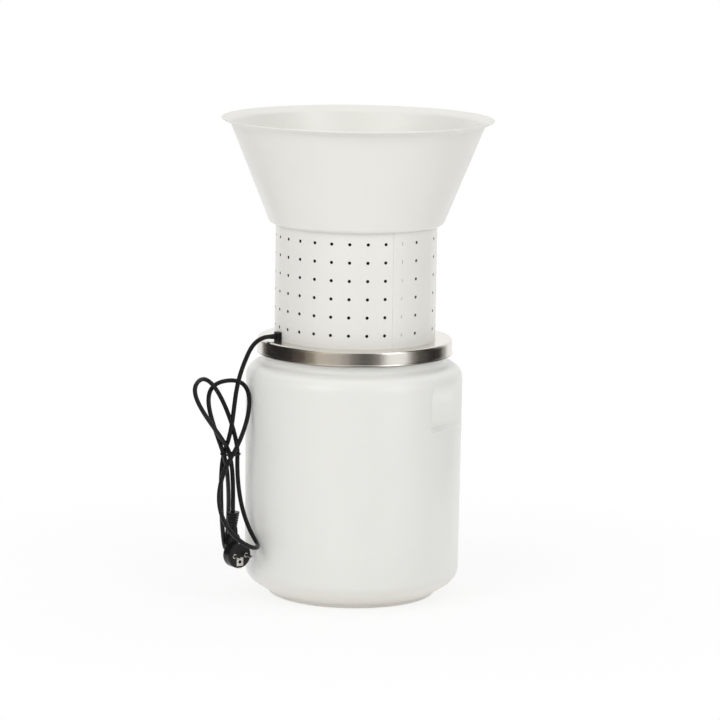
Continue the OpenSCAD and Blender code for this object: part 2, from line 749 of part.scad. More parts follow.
module motor_cap() {
    color("darkgray") difference() {
        union() {
            translate([0, 0, core_top]) ring(motor_r, cup_in, cap_cup_h);
            translate([0, 0, cap_plate_z]) cylinder(r = motor_r, h = cap_plate);
            translate([0, 0, cap_plate_z - 4]) cylinder(r = top_bearing_r + 5, h = cap_plate + 4 + top_bearing_h);
        }
        translate([0, 0, core_top]) cylinder(r = shaft_r + 3, h = cap_cup_h + eps);
        translate([0, 0, top_bearing_z]) cylinder(r = top_bearing_r, h = top_bearing_h + eps);
        motor_bolt_holes(core_top, cap_cup_h);
        for (k = [0:3]) at(45 + 90 * k - 8, 0, core_top + 5)
            arc_ring(motor_r + eps, cup_in - eps, cap_cup_h - cap_plate - 10, 0, 16);
        for (dir = [0, 180]) at(dir, cup_in - eps, brush_z - holder_side / 2)
            translate([0, -holder_side / 2, 0]) cube([cup_wall + 2 * eps, holder_side, holder_side]);
    }
}
coil_from = 38;
coil_to = 62;
module stator_core() {
    color("dimgray") difference() {
        translate([0, 0, core_z]) ring(motor_r, rotor_r + air_gap, core_h);
        for (dir = [0, 180]) for (s = [-1, 1]) at(dir, 0, core_z - eps)
            arc_ring(coil_r + slip, coil_in - slip, core_h + 2 * eps,
                s > 0 ? coil_from - 0.5 : -coil_to - 0.5, s > 0 ? coil_to + 0.5 : -coil_from + 0.5);
        motor_bolt_holes(core_z, core_h);
    }
}
module field_coils() {
    color("peru") for (dir = [0, 180]) at(dir, 0) {
        for (s = [-1, 1]) translate([0, 0, core_z - coil_end])
            arc_ring(coil_r, coil_in, core_h + 2 * coil_end, s > 0 ? coil_from : -coil_to, s > 0 ? coil_to : -coil_from);
        for (z = [core_z - coil_end, core_top]) translate([0, 0, z])
            arc_ring(coil_r, coil_in, coil_end, -coil_to, coil_to);
    }
}
module motor_bolts() {
    low = pan_under - 4;
    top = top_bearing_z;
    color("silver") for (dir = through_dirs) at(dir, through_r, 0) {
        translate([0, 0, low]) cylinder(d = bolt_d, h = top - low);
        translate([0, 0, top]) cylinder(d = 1.6 * bolt_d, h = 3.5, $fn = 6);
        translate([0, 0, low]) cylinder(d = 1.6 * bolt_d, h = 4, $fn = 6);
    }
}
module lower_bearing() {
    color("silver") translate([0, 0, low_bearing_z]) ring(low_bearing_r, shaft_r + bearing_fit, low_bearing_h);
}
module upper_bearing() {
    color("silver") translate([0, 0, top_bearing_z]) ring(top_bearing_r, shaft_r + bearing_fit, top_bearing_h);
}
module shaft_seal() {
    color("tan") translate([0, 0, pan_top]) ring(felt_r, shaft_r + 0.2, seal_t);
}
module brush_holders() {
    inner = comm_r + 4;
    color("goldenrod") for (dir = [0, 180]) at(dir, 0, brush_z) difference() {
        translate([inner, -holder_side / 2, -holder_side / 2]) cube([holder_end - inner, holder_side, holder_side]);
        translate([inner - eps, -brush_side / 2 - slip / 2, -brush_side / 2 - slip / 2])
            cube([holder_end - inner + eps - holder_wall, brush_side + slip, brush_side + slip]);
    }
}
module carbon_brushes() {
    bedding = 0.3;
    color("black") for (dir = [0, 180]) at(dir, comm_r + bedding, brush_z)
        translate([0, -brush_side / 2, -brush_side / 2]) cube([brush_l - bedding, brush_side, brush_side]);
}
module brush_springs() {
    color("silver") for (dir = [0, 180]) at(dir, brush_out, brush_z) rotate([0, 90, 0])
        ring(brush_side / 2 - 0.4, brush_side / 2 - 1.4, spring_l);
}

// Rotor
module motor_shaft() {
    color("silver") translate([0, 0, shaft_low]) cylinder(r = shaft_r, h = shaft_top - shaft_low);
}
core_in = 2;
slots = 12;
slot_d = rotor_r * 0.26;
slot_at = rotor_r - slot_d / 2 - coil_lip;
module armature_core() {
    color("slategray") difference() {
        translate([0, 0, core_z + core_in]) ring(rotor_r, shaft_r, core_h - 2 * core_in);
        for (k = [0:slots - 1]) at(k * 360 / slots, slot_at, core_z) cylinder(d = slot_d, h = core_h);
    }
}
module armature_coils() {
    end_h = 7;
    color("sienna") {
        for (z = [core_z + core_in - end_h, core_top - core_in]) translate([0, 0, z]) ring(rotor_r - 2, shaft_r + 4, end_h);
        for (k = [0:slots - 1]) at(k * 360 / slots, slot_at, core_z + core_in - end_h)
            cylinder(d = slot_d - slip, h = core_h - 2 * core_in + 2 * end_h);
    }
}
module commutator() {
    bars = 24;
    color("peru") difference() {
        translate([0, 0, comm_z]) ring(comm_r, shaft_r, comm_h);
        for (k = [0:bars - 1]) at(k * 360 / bars, comm_r, comm_z - eps)
            translate([-0.8, -0.3, 0]) cube([2, 0.6, comm_h + 2 * eps]);
    }
}
module cooling_fan() {
    hub = shaft_r + 4;
    root = hub - 2;
    disc_t = 1.6;
    blade_t = 1.6;
    blade_l = (fan_r - root) * 0.95;
    color("black") translate([0, 0, fan_z]) {
        ring(hub, shaft_r, fan_h);
        ring(fan_r, hub - 1, disc_t);
        for (k = [0:fan_blades - 1]) at(k * 360 / fan_blades, root) rotate([0, 0, 18])
            translate([0, -blade_t / 2, disc_t / 2]) cube([blade_l, blade_t, fan_h - disc_t / 2 - 1]);
    }
}
module beater_hub() {
    color("silver") translate([0, 0, hub_z]) difference() {
        ring(hub_r, shaft_r, hub_h);
        translate([0, 0, (hub_h - beater_t) / 2]) translate([-hub_r - eps, -beater_w / 2, 0])
            cube([2 * hub_r + 2 * eps, beater_w, beater_t]);
    }
}
module beater_bar() {
    color("dimgray") translate([0, 0, hub_z + (hub_h - beater_t) / 2]) difference() {
        intersection() {
            translate([-beater_r, -beater_w / 2, 0]) cube([2 * beater_r, beater_w, beater_t]);
            cylinder(r = beater_r, h = beater_t);
        }
        translate([0, 0, -eps]) cylinder(r = shaft_r, h = beater_t + 2 * eps);
        // The leading edges are ground to a bevel
        for (dir = [0, 180]) rotate([0, 0, dir]) translate([hub_r + 8, beater_w / 2, beater_t])
            rotate([45, 0, 0]) translate([0, -3, -3]) cube([beater_r, 6, 6]);
    }
}
module beater_nut() {
    color("silver") translate([0, 0, hub_z - nut_h]) difference() {
        cylinder(r = 10.5, h = nut_h, $fn = 6);
        translate([0, 0, -eps]) cylinder(r = shaft_r, h = nut_h + 2 * eps);
    }
}

// Grinding chamber
module chamber_ring() {
    rim = 7;
    color("silver") difference() {
        translate([0, 0, floor_z]) ring(chamber_r, sieve_in, chamber_h);
        for (k = [0:sieve_slots - 1]) at(k * 360 / sieve_slots, sieve_in - eps, floor_z + rim)
            translate([0, -slot_w / 2, 0]) cube([sieve_t + 2 * eps, slot_w, chamber_h - 2 * rim]);
    }
}
module chamber_floor() {
    color("silver") difference() {
        translate([0, 0, floor_z - floor_t]) cylinder(r = chamber_floor_r, h = floor_t);
        for (dir = bolt_dirs) at(dir, bolt_r, floor_z - floor_t - eps) cylinder(d = bolt_d, h = floor_t + 2 * eps);
    }
}
module chamber_bolts() {
    nut = 4;
    low = floor_z - floor_t;
    top = pan_top + ring_t;
    color("silver") for (dir = bolt_dirs) at(dir, bolt_r, 0) {
        translate([0, 0, low - nut]) cylinder(d = bolt_d, h = top + nut - low + nut);
        translate([0, 0, low - nut]) cylinder(d = 1.8 * bolt_d, h = nut, $fn = 6);
        translate([0, 0, top]) cylinder(d = 1.8 * bolt_d, h = nut, $fn = 6);
        // Distance sleeve between the floor and the pan
        translate([0, 0, floor_z]) cylinder(d = bolt_d + 3, h = chamber_h);
    }
}

// Electrical parts
cap_at = [motor_r + 24, 36];
module capacitor() {
    color("lightgray") translate([cap_at[0], cap_at[1], pan_top]) {
        cylinder(r = cap_r, h = cap_h - 4);
        cylinder(r = cap_r - 1.5, h = cap_h);
    }
}
term_r = motor_r + 20;
term_h = 15;
term_w = 36;
term_d = 16;
module terminal_block() {
    color("ivory") at(gland_dir, term_r, pan_top) difference() {
        block([term_d, term_w, term_h]);
        for (k = [-1, 0, 1]) translate([3.5, k * term_pitch, term_h - 4]) cylinder(d = 5, h = 5);
    }
}
clamp_r = term_r + term_d / 2 + 14;
clamp_t = 8;
clamp_over = 3;
module cord_clamp() {
    color("black") at(gland_dir, clamp_r, pan_top) difference() {
        block([clamp_t, 2.5 * cord_d, cord_rise + cord_d / 2 + clamp_over]);
        translate([-clamp_t / 2 - 1, 0, cord_rise]) rotate([0, 90, 0]) cylinder(d = cord_d, h = clamp_t + 2);
    }
}
function around(dir, r, t, z) = [r * cos(dir) - t * sin(dir), r * sin(dir) + t * cos(dir), z];
lead_d = 2.4;
lead_sides = 8;
lead_bow = 12;
lead_in = 4;
term_pitch = 11;
cap_tab = 6;
module inner_leads() {
    top = pan_top + term_h;
    near = term_r - lead_in;
    cap_top = pan_top + cap_h;
    sheath_from = term_r + term_d / 2;
    to_switch = housing_r - switch_depth;
    color("saddlebrown") {
        at(gland_dir, sheath_from, exit_z) rotate([0, 90, 0]) cylinder(d = cord_d, h = inner_r - shank_l - sheath_from);
        // To the left brush
        cord_tube([around(gland_dir, near, 0, top), around(gland_dir, near, 0, brush_z - lead_bow),
            [-holder_end - lead_bow, 0, brush_z], [-holder_end, 0, brush_z]], lead_d, lead_sides);
        // To the switch
        cord_tube([around(gland_dir, near, -term_pitch, top), around(gland_dir, near, -term_pitch, top + 2 * lead_bow),
            around(160, term_r, 0, top + 3 * lead_bow), around(switch_dir, to_switch - lead_bow, 0, switch_z),
            around(switch_dir, to_switch, 0, switch_z)], lead_d, lead_sides);
        // To the capacitor, round the front of the motor
        cord_tube([around(gland_dir, near, term_pitch, top), around(gland_dir, near, term_pitch, top + lead_bow),
            around(225, term_r, 0, top + lead_bow), around(260, term_r, 0, top + lead_bow),
            around(295, term_r + lead_in, 0, top + lead_bow), around(330, term_r + 2 * lead_in, 0, top + 2 * lead_bow),
            around(355, term_r + 2 * lead_in, 0, top + 3 * lead_bow),
            [cap_at[0], cap_at[1] - cap_tab, cap_top + lead_bow],
            [cap_at[0], cap_at[1] - cap_tab, cap_top]], lead_d, lead_sides);
        // From the capacitor to the right brush
        cord_tube([[cap_at[0], cap_at[1] + cap_tab, cap_top], [cap_at[0], cap_at[1] + cap_tab, cap_top + 2 * lead_bow],
            [holder_end + lead_bow, 0, brush_z], [holder_end, 0, brush_z]], lead_d, lead_sides);
    }
}

// Switch in the back of the housing; the rocker's pins turn in the frame
pivot_r = 1.5;
rocker_arc = rocker_h / 2;
module in_switch() {
    // x points out of the housing, y along its wall, z up, from the sheet's outer face
    at(switch_dir, housing_r, switch_z) children();
}
module switch_frame() {
    color("black") in_switch() difference() {
        union() {
            difference() {
                translate([-6, -bezel_w / 2, -bezel_h / 2]) cube([6 + bezel_t, bezel_w, bezel_h]);
                translate([-housing_r, 0, -bezel_h]) cylinder(r = housing_r, h = 2 * bezel_h);
            }
            translate([-switch_depth, -frame_w / 2, -frame_h / 2])
                cube([switch_depth + bezel_t / 2, frame_w, frame_h]);
        }
        translate([-rocker_arc - 1, -rocker_w / 2 - rocker_gap, -rocker_arc - rocker_gap])
            cube([rocker_arc + 1 + bezel_t + eps, rocker_w + 2 * rocker_gap, rocker_h + 2 * rocker_gap]);
        translate([-pivot_in, 0, 0]) rotate([90, 0, 0])
            cylinder(r = pivot_r + 0.05, h = rocker_w + 3 + slip, center = true);
    }
}
module switch_rocker() {
    color("red") in_switch() translate([-pivot_in, 0, 0]) rotate([0, rocker_tilt, 0]) {
        rotate([90, 0, 0]) linear_extrude(height = rocker_w, center = true) intersection() {
            circle(r = rocker_arc);
            // Two flats that meet at the middle, and a hub behind them
            polygon([[-6, -5], [-6, 5], [-2, rocker_h], [pivot_in + bezel_t + 2.5, rocker_h],
                [pivot_in + bezel_t - 0.5, 0], [pivot_in + bezel_t + 2.5, -rocker_h], [-2, -rocker_h]]);
        }
        rotate([90, 0, 0]) cylinder(r = pivot_r, h = rocker_w + 3, center = true);
    }
}

// Cord
module cord_gland() {
    color("black") at(gland_dir, housing_r, exit_z) {
        translate([0, -gland_w / 2, -cord_rise]) difference() {
            cube([gland_depth, gland_w, gland_h]);
            translate([-housing_r, gland_w / 2, -eps]) cylinder(r = housing_r, h = gland_h + 2 * eps);
        }
        rotate([0, 90, 0]) {
            translate([0, 0, gland_depth]) cylinder(r1 = snout_r, r2 = snout_end_r, h = snout_l);
            translate([0, 0, -sheet_t - shank_l]) cylinder(r = snout_r, h = sheet_t + shank_l + 1);
        }
    }
}
module cord_lead() {
    straight = cord_d / 2;
    color("black") cord_tube(concat(
        [around(gland_dir, exit_r, 0, exit_z), around(gland_dir, exit_r + straight, 0, exit_z)],
        lead_points,
        [waist(0) + (head_l + cord_d) * lean(0), waist(0) + head_l * lean(0)]), cord_d, 8);
}
module cord_hank() {
    color("black") cord_tube(hank_points, cord_d, 6);
}
module cord_tie() {
    module wrap(grow, z) {
        hull() for (s = strands)
            translate([s[0] + s[2] * (z - waist_z), s[1] + s[3] * (z - waist_z)]) circle(r = cord_d / 2 + grow, $fn = 20);
    }
    color("black") for (k = [0:tie_wraps - 1]) {
        z = waist_z - tie_h / 2 + k * tie_wire;
        translate([0, 0, z]) linear_extrude(height = tie_wire + (k < tie_wraps - 1 ? 0.1 : 0)) difference() {
            wrap(tie_wire - tie_squeeze - 0.2 * k, z + tie_wire / 2);
            wrap(-tie_squeeze, z + tie_wire / 2);
        }
    }
}

// Plug: x points along the pins, from the middle of its face
module on_plug() {
    translate(plug_face) rotate([0, 0, plug_turn]) children();
}
clip_w = 6;
clip_l = 8;
clip_t = 1.2;
// Earth contact in the face, under the pins
earth_w = 11;
earth_h = 12;
earth_d = 5;
earth_low = -9;
earth_deep = 3;
module plug_body() {
    edge = 2;
    back_w = 24;
    back_top_w = 15;
    back_low = 2;
    back_h = 24;
    back_run = back_depth - plug_depth + edge;
    color("black") difference() {
        union() {
            on_plug() rotate([0, -90, 0]) rotate_extrude() union() {
                square([plug_d / 2 - edge, plug_depth]);
                translate([0, edge]) square([plug_d / 2, plug_depth - 2 * edge]);
                for (y = [edge, plug_depth - edge]) translate([plug_d / 2 - edge, y]) circle(r = edge);
            }
            // Block behind the upper half, narrower towards the neck
            on_plug() hull() {
                translate([-back_depth, -back_w / 2 + edge, back_low]) cube([back_run, back_w - 2 * edge, eps]);
                translate([edge - back_depth, -back_w / 2, back_low]) cube([back_run, back_w, back_h / 2]);
                translate([-back_depth, -back_top_w / 2, back_low + back_h]) cube([back_run, back_top_w, eps]);
            }
            translate([plug_in[0], plug_in[1], neck_low])
                cylinder(r1 = neck_low_r, r2 = neck_top_r, h = relief_low - neck_low);
        }
        on_plug() translate([-earth_deep, 0, earth_low]) rotate([0, 90, 0])
            cylinder(d = earth_d, h = earth_deep + eps);
        on_plug() translate([-clip_t, -earth_w / 2, earth_low - earth_h / 2]) cube([clip_t + eps, earth_w, earth_h]);
        on_plug() for (s = [-1, 1]) translate([-clip_l, -clip_w / 2, s > 0 ? plug_d / 2 - clip_t : -plug_d / 2 - eps])
            cube([clip_l + eps, clip_w, clip_t + eps]);
    }
}
// Ribbed relief: the ribs get smaller downwards, the top one closes it
module plug_relief() {
    ribs = 6;
    step = (relief_top - relief_low) / ribs;
    rib_h = step * 0.6;
    function rib_r(k) = cord_d / 2 + 3.3 + 0.6 * k;
    color("black") translate([plug_in[0], plug_in[1], relief_low]) {
        cylinder(r = cord_d / 2 + 1.6, h = relief_top - relief_low);
        for (k = [0:ribs - 1]) translate([0, 0, (k + 1) * step - rib_h]) cylinder(r = rib_r(k), h = rib_h);
    }
}
module plug_pins() {
    color("silver") on_plug() for (s = [-1, 1]) translate([0, s * pin_gap / 2, 0]) rotate([0, 90, 0]) {
        cylinder(d = pin_d + 1.8, h = 1);
        cylinder(d = pin_d, h = pin_l - pin_d / 2);
        translate([0, 0, pin_l - pin_d / 2]) sphere(d = pin_d);
    }
}
module plug_clips() {
    color("silver") on_plug() {
        for (s = [-1, 1]) translate([-clip_l, -clip_w / 2, s > 0 ? plug_d / 2 - clip_t : -plug_d / 2])
            cube([clip_l, clip_w, clip_t]);
        translate([-clip_t, 0, earth_low]) difference() {
            translate([0, -earth_w / 2, -earth_h / 2]) cube([clip_t, earth_w, earth_h]);
            translate([-eps, 0, 0]) rotate([0, 90, 0]) cylinder(d = earth_d, h = clip_t + 2 * eps);
        }
    }
}

echo(str("hank: least gap to itself ", hank_gap, " mm, length ", gap_along[len(gap_along) - 1], " mm"));
echo(str("height ", hopper_top, " mm"));

drum();
drum_seal();
lid_pan();
housing();
housing_ring();
housing_screws();
top_deck();
hopper();
hopper_screws();
gate_rails();
feed_gate();
feed_tube();
motor_foot();
motor_cap();
stator_core();
field_coils();
motor_bolts();
lower_bearing();
upper_bearing();
shaft_seal();
brush_holders();
carbon_brushes();
brush_springs();
motor_shaft();
armature_core();
armature_coils();
commutator();
cooling_fan();
beater_hub();
beater_bar();
beater_nut();
chamber_ring();
chamber_floor();
chamber_bolts();
capacitor();
terminal_block();
cord_clamp();
inner_leads();
switch_frame();
switch_rocker();
cord_gland();
cord_lead();
cord_hank();
cord_tie();
plug_body();
plug_relief();
plug_pins();
plug_clips();
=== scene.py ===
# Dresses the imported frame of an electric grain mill: white painted sheet, a blown plastic
# drum, a steel pan lid, and a black mains cord tied in a hank with its plug.
# Metres, in the frame of the model: floor at z = 0, front towards -Y.

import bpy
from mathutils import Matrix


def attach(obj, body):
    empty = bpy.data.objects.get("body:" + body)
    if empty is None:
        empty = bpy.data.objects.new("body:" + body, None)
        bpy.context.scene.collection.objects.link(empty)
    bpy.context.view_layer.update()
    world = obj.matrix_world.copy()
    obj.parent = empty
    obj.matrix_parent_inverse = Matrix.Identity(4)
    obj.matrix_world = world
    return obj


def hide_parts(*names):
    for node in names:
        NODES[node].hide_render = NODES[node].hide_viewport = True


bl_info = {
    "name": "Electric grain mill",
    "version": (1, 0, 0),
    "blender": (4, 5, 0),
    "location": "View3D > Sidebar > Grain Mill",
    "description": "Finishes, cord, drum and studio of an electric grain mill",
    "category": "Object",
}

import bpy
import bmesh
import math
from bpy.props import FloatProperty, FloatVectorProperty, IntProperty, PointerProperty
from bpy.types import Operator, Panel, PropertyGroup
from mathutils import Matrix, Vector

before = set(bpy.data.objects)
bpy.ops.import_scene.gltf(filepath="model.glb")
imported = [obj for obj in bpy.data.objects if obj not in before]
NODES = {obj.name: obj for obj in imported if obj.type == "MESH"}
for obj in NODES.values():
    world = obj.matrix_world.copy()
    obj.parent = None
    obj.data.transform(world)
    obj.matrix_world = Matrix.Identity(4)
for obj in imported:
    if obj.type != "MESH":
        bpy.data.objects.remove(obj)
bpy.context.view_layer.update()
HEAD = "mill_head"
CORD_DIAMETER = 0.0064


# Sizes and colours that a user would change

class MillFinishes(PropertyGroup):
    """Colours and textures of the mill's surfaces"""
    paint: FloatVectorProperty(
        name="White paint", description="Powder coat of the housing and the hopper",
        subtype="COLOR", size=3, min=0, max=1, default=(0.805, 0.797, 0.757))
    drum: FloatVectorProperty(
        name="Drum", description="Milky plastic of the collecting drum",
        subtype="COLOR", size=3, min=0, max=1, default=(0.80, 0.797, 0.762))
    steel: FloatVectorProperty(
        name="Stainless steel", description="Pan lid, gate and grinding chamber",
        subtype="COLOR", size=3, min=0, max=1, default=(0.82, 0.79, 0.735))
    black: FloatVectorProperty(
        name="Black", description="Cord, plug and relief",
        subtype="COLOR", size=3, min=0, max=1, default=(0.007, 0.007, 0.0075))
    peel: FloatProperty(
        name="Orange peel", description="Height of the powder coat's ripple",
        subtype="DISTANCE", unit="LENGTH", min=0, max=0.0005, default=0.00004)
    brushing: FloatProperty(
        name="Brushing", description="Height of the brush lines in the steel",
        subtype="DISTANCE", unit="LENGTH", min=0, max=0.0005, default=0.00001)


class MillCord(PropertyGroup):
    """Mains cord and the wire that ties it"""
    diameter: FloatProperty(
        name="Cord diameter", description="Outer diameter of the mains cord",
        subtype="DISTANCE", unit="LENGTH", min=0.004, max=0.01, default=CORD_DIAMETER)
    tie_wire: FloatProperty(
        name="Tie wire", description="Thickness of the covered wire round the hank",
        subtype="DISTANCE", unit="LENGTH", min=0.001, max=0.004, default=0.0016)
    tie_turns: IntProperty(
        name="Turns of the tie", description="How often the wire goes round the hank",
        min=1, max=8, default=2)


class MillStudio(PropertyGroup):
    """Floor, lamps and camera"""
    world_level: FloatProperty(
        name="World level", description="Strength of the light from all round",
        min=0, max=3, default=0.60)
    key_power: FloatProperty(
        name="Key power", description="Power of the two large lamps at the upper left and right",
        subtype="POWER", unit="POWER", min=0, max=2000, default=36)
    top_power: FloatProperty(
        name="Top power", description="Power of the lamp above the mill",
        subtype="POWER", unit="POWER", min=0, max=2000, default=8)
    rim_power: FloatProperty(
        name="Rim power", description="Power of each strip lamp behind the mill",
        subtype="POWER", unit="POWER", min=0, max=2000, default=3)
    lens: FloatProperty(
        name="Focal length", description="Focal length on a 36 mm sensor, in millimetres",
        min=20, max=400, default=179.52)


# Shared shader effects, as node groups

def new_group(name, inputs, outputs):
    """A node group with its sockets, and its input and output nodes"""
    tree = bpy.data.node_groups.new(name, "ShaderNodeTree")
    for label, kind, value in inputs:
        socket = tree.interface.new_socket(name=label, in_out="INPUT", socket_type=kind)
        socket.default_value = value
    for label, kind in outputs:
        tree.interface.new_socket(name=label, in_out="OUTPUT", socket_type=kind)
    return tree, tree.nodes.new("NodeGroupInput"), tree.nodes.new("NodeGroupOutput")


def add(tree, kind, values=None, **settings):
    """A node with settings, whose sockets hold the given values"""
    node = tree.nodes.new(kind)
    for key, value in settings.items():
        setattr(node, key, value)
    for key, value in (values or {}).items():
        node.inputs[key].default_value = value
    return node


def axis_place(tree):
    """Two nodes: the object's own coordinates, split up, and their distance from the Z axis"""
    place = add(tree, "ShaderNodeTexCoord")
    split = add(tree, "ShaderNodeSeparateXYZ")
    flat = add(tree, "ShaderNodeCombineXYZ")
    across = add(tree, "ShaderNodeVectorMath", operation="LENGTH")
    tree.links.new(place.outputs["Object"], split.inputs["Vector"])
    for axis in "XY":
        tree.links.new(split.outputs[axis], flat.inputs[axis])
    tree.links.new(flat.outputs["Vector"], across.inputs[0])
    return split, across


def grain_group():
    """Fine even ripple, such as powder coat or moulded plastic"""
    tree, source, result = new_group(
        "Fine grain",
        [("Scale", "NodeSocketFloat", 400.0), ("Rough low", "NodeSocketFloat", 0.35),
         ("Rough high", "NodeSocketFloat", 0.45)],
        [("Height", "NodeSocketFloat"), ("Roughness", "NodeSocketFloat")])
    place = add(tree, "ShaderNodeTexCoord")
    fine = add(tree, "ShaderNodeTexNoise", {"Detail": 3.0, "Roughness": 0.55})
    broad = add(tree, "ShaderNodeTexNoise", {"Scale": 9.0, "Detail": 4.0})
    spread = add(tree, "ShaderNodeMapRange", {"From Min": 0.35, "From Max": 0.65})
    link = tree.links.new
    link(place.outputs["Object"], fine.inputs["Vector"])
    link(place.outputs["Object"], broad.inputs["Vector"])
    link(source.outputs["Scale"], fine.inputs["Scale"])
    link(broad.outputs["Fac"], spread.inputs["Value"])
    link(source.outputs["Rough low"], spread.inputs["To Min"])
    link(source.outputs["Rough high"], spread.inputs["To Max"])
    link(fine.outputs["Fac"], result.inputs["Height"])
    link(spread.outputs["Result"], result.inputs["Roughness"])
    return tree


# How fast a brush line changes per radian round the axis
LINE_CHANGE = 1.6
# How bright the metal is in its darkest brush lines
LINE_SHADE = 0.55


def brushing_group():
    """Fine lines round the Z axis, as on sheet that is polished while it turns"""
    tree, source, result = new_group(
        "Round brushing",
        [("Lines", "NodeSocketFloat", 900.0), ("Rough low", "NodeSocketFloat", 0.22),
         ("Rough high", "NodeSocketFloat", 0.36)],
        [("Height", "NodeSocketFloat"), ("Roughness", "NodeSocketFloat"), ("Shade", "NodeSocketFloat")])
    split, across = axis_place(tree)
    angle = add(tree, "ShaderNodeMath", operation="ARCTAN2")
    slow = add(tree, "ShaderNodeMath", {1: LINE_CHANGE}, operation="MULTIPLY")
    # Radius and height added up, so that the lines run round flat and upright faces alike
    rise = add(tree, "ShaderNodeMath", operation="ADD")
    lines = add(tree, "ShaderNodeMath", operation="MULTIPLY")
    point = add(tree, "ShaderNodeCombineXYZ")
    noise = add(tree, "ShaderNodeTexNoise", {"Scale": 1.0, "Detail": 4.0, "Roughness": 0.7})
    streak = add(tree, "ShaderNodeMapRange", {
        "From Min": 0.3, "From Max": 0.7, "To Min": 0.88, "To Max": 1.0})
    rough = add(tree, "ShaderNodeMapRange", {"From Min": 0.3, "From Max": 0.7})
    link = tree.links.new
    link(split.outputs["Y"], angle.inputs[0])
    link(split.outputs["X"], angle.inputs[1])
    link(angle.outputs["Value"], slow.inputs[0])
    link(across.outputs["Value"], rise.inputs[0])
    link(split.outputs["Z"], rise.inputs[1])
    link(rise.outputs["Value"], lines.inputs[0])
    link(source.outputs["Lines"], lines.inputs[1])
    link(slow.outputs["Value"], point.inputs["X"])
    link(lines.outputs["Value"], point.inputs["Y"])
    link(point.outputs["Vector"], noise.inputs["Vector"])
    link(noise.outputs["Fac"], streak.inputs["Value"])
    link(noise.outputs["Fac"], rough.inputs["Value"])
    link(source.outputs["Rough low"], rough.inputs["To Min"])
    link(source.outputs["Rough high"], rough.inputs["To Max"])
    link(noise.outputs["Fac"], result.inputs["Height"])
    link(rough.outputs["Result"], result.inputs["Roughness"])
    link(streak.outputs["Result"], result.inputs["Shade"])
    return tree


def mottle_group():
    """Slow cloudy change between two colours"""
    tree, source, result = new_group(
        "Mottle",
        [("Base", "NodeSocketColor", (0.8, 0.8, 0.8, 1)),
         ("Cloud", "NodeSocketColor", (0.7, 0.7, 0.7, 1)),
         ("Scale", "NodeSocketFloat", 6.0), ("Amount", "NodeSocketFloat", 0.5)],
        [("Color", "NodeSocketColor")])
    place = add(tree, "ShaderNodeTexCoord")
    noise = add(tree, "ShaderNodeTexNoise", {"Detail": 5.0, "Roughness": 0.6, "Distortion": 0.4})
    spread = add(tree, "ShaderNodeMapRange", {"From Min": 0.4, "From Max": 0.65})
    amount = add(tree, "ShaderNodeMath", operation="MULTIPLY")
    blend = add(tree, "ShaderNodeMix", data_type="RGBA")
    link = tree.links.new
    link(place.outputs["Object"], noise.inputs["Vector"])
    link(source.outputs["Scale"], noise.inputs["Scale"])
    link(noise.outputs["Fac"], spread.inputs["Value"])
    link(spread.outputs["Result"], amount.inputs[0])
    link(source.outputs["Amount"], amount.inputs[1])
    link(amount.outputs["Value"], blend.inputs["Factor"])
    link(source.outputs["Base"], blend.inputs["A"])
    link(source.outputs["Cloud"], blend.inputs["B"])
    link(blend.outputs["Result"], result.inputs["Color"])
    return tree


def place_group():
    """Radius from the Z axis and height above the floor"""
    outputs = [("Radius", "NodeSocketFloat"), ("Height", "NodeSocketFloat")]
    tree, _, result = new_group("Place", [], outputs)
    split, across = axis_place(tree)
    tree.links.new(across.outputs["Value"], result.inputs["Radius"])
    tree.links.new(split.outputs["Z"], result.inputs["Height"])
    return tree


MAKERS = {"grain": grain_group, "brushing": brushing_group, "mottle": mottle_group, "place": place_group}
GROUPS = {}


def group(name):
    """One shared group, built the first time that a material asks for it"""
    if name not in GROUPS:
        GROUPS[name] = MAKERS[name]()
    return GROUPS[name]


# Materials

def rgba(colour, factor=1.0):
    """A colour for a socket, brighter or darker by a factor"""
    return tuple(c * factor for c in colour) + (1.0,)


def new_material(name, **uniform):
    """A material with its Principled BSDF, whose even values stand on its own sockets"""
    material = bpy.data.materials.new(name)
    material.use_nodes = True
    shader = material.node_tree.nodes["Principled BSDF"]
    for key, value in uniform.items():
        shader.inputs[key.replace("_", " ").title().replace("Ior", "IOR")].default_value = value
    return material, material.node_tree, shader


def put_group(tree, name, values):
    """A shared group as a node, whose sockets hold the given values"""
    node = add(tree, "ShaderNodeGroup", node_tree=group(name))
    for key, value in values.items():
        node.inputs[key].default_value = value
    return node


def put_bump(tree, height, shader, distance):
    """A bump of this height between a height socket and the shader"""
    bump = add(tree, "ShaderNodeBump", {"Strength": 1.0, "Distance": distance})
    tree.links.new(height, bump.inputs["Height"])
    tree.links.new(bump.outputs["Normal"], shader.inputs["Normal"])


def grained(name, colour, cloud=0.9, scale=500.0, height=0.00003, rough=(0.35, 0.45),
            mottle=7.0, amount=0.5, **uniform):
    """Cast, moulded or coated surface: cloudy colour, fine ripple, uneven gloss"""
    material, tree, shader = new_material(name, **uniform)
    tone = put_group(tree, "mottle", {
        "Base": rgba(colour), "Cloud": rgba(colour, cloud), "Scale": mottle, "Amount": amount})
    grain = put_group(tree, "grain", {"Scale": scale, "Rough low": rough[0], "Rough high": rough[1]})
    tree.links.new(tone.outputs["Color"], shader.inputs["Base Color"])
    tree.links.new(grain.outputs["Roughness"], shader.inputs["Roughness"])
    put_bump(tree, grain.outputs["Height"], shader, height)
    return material


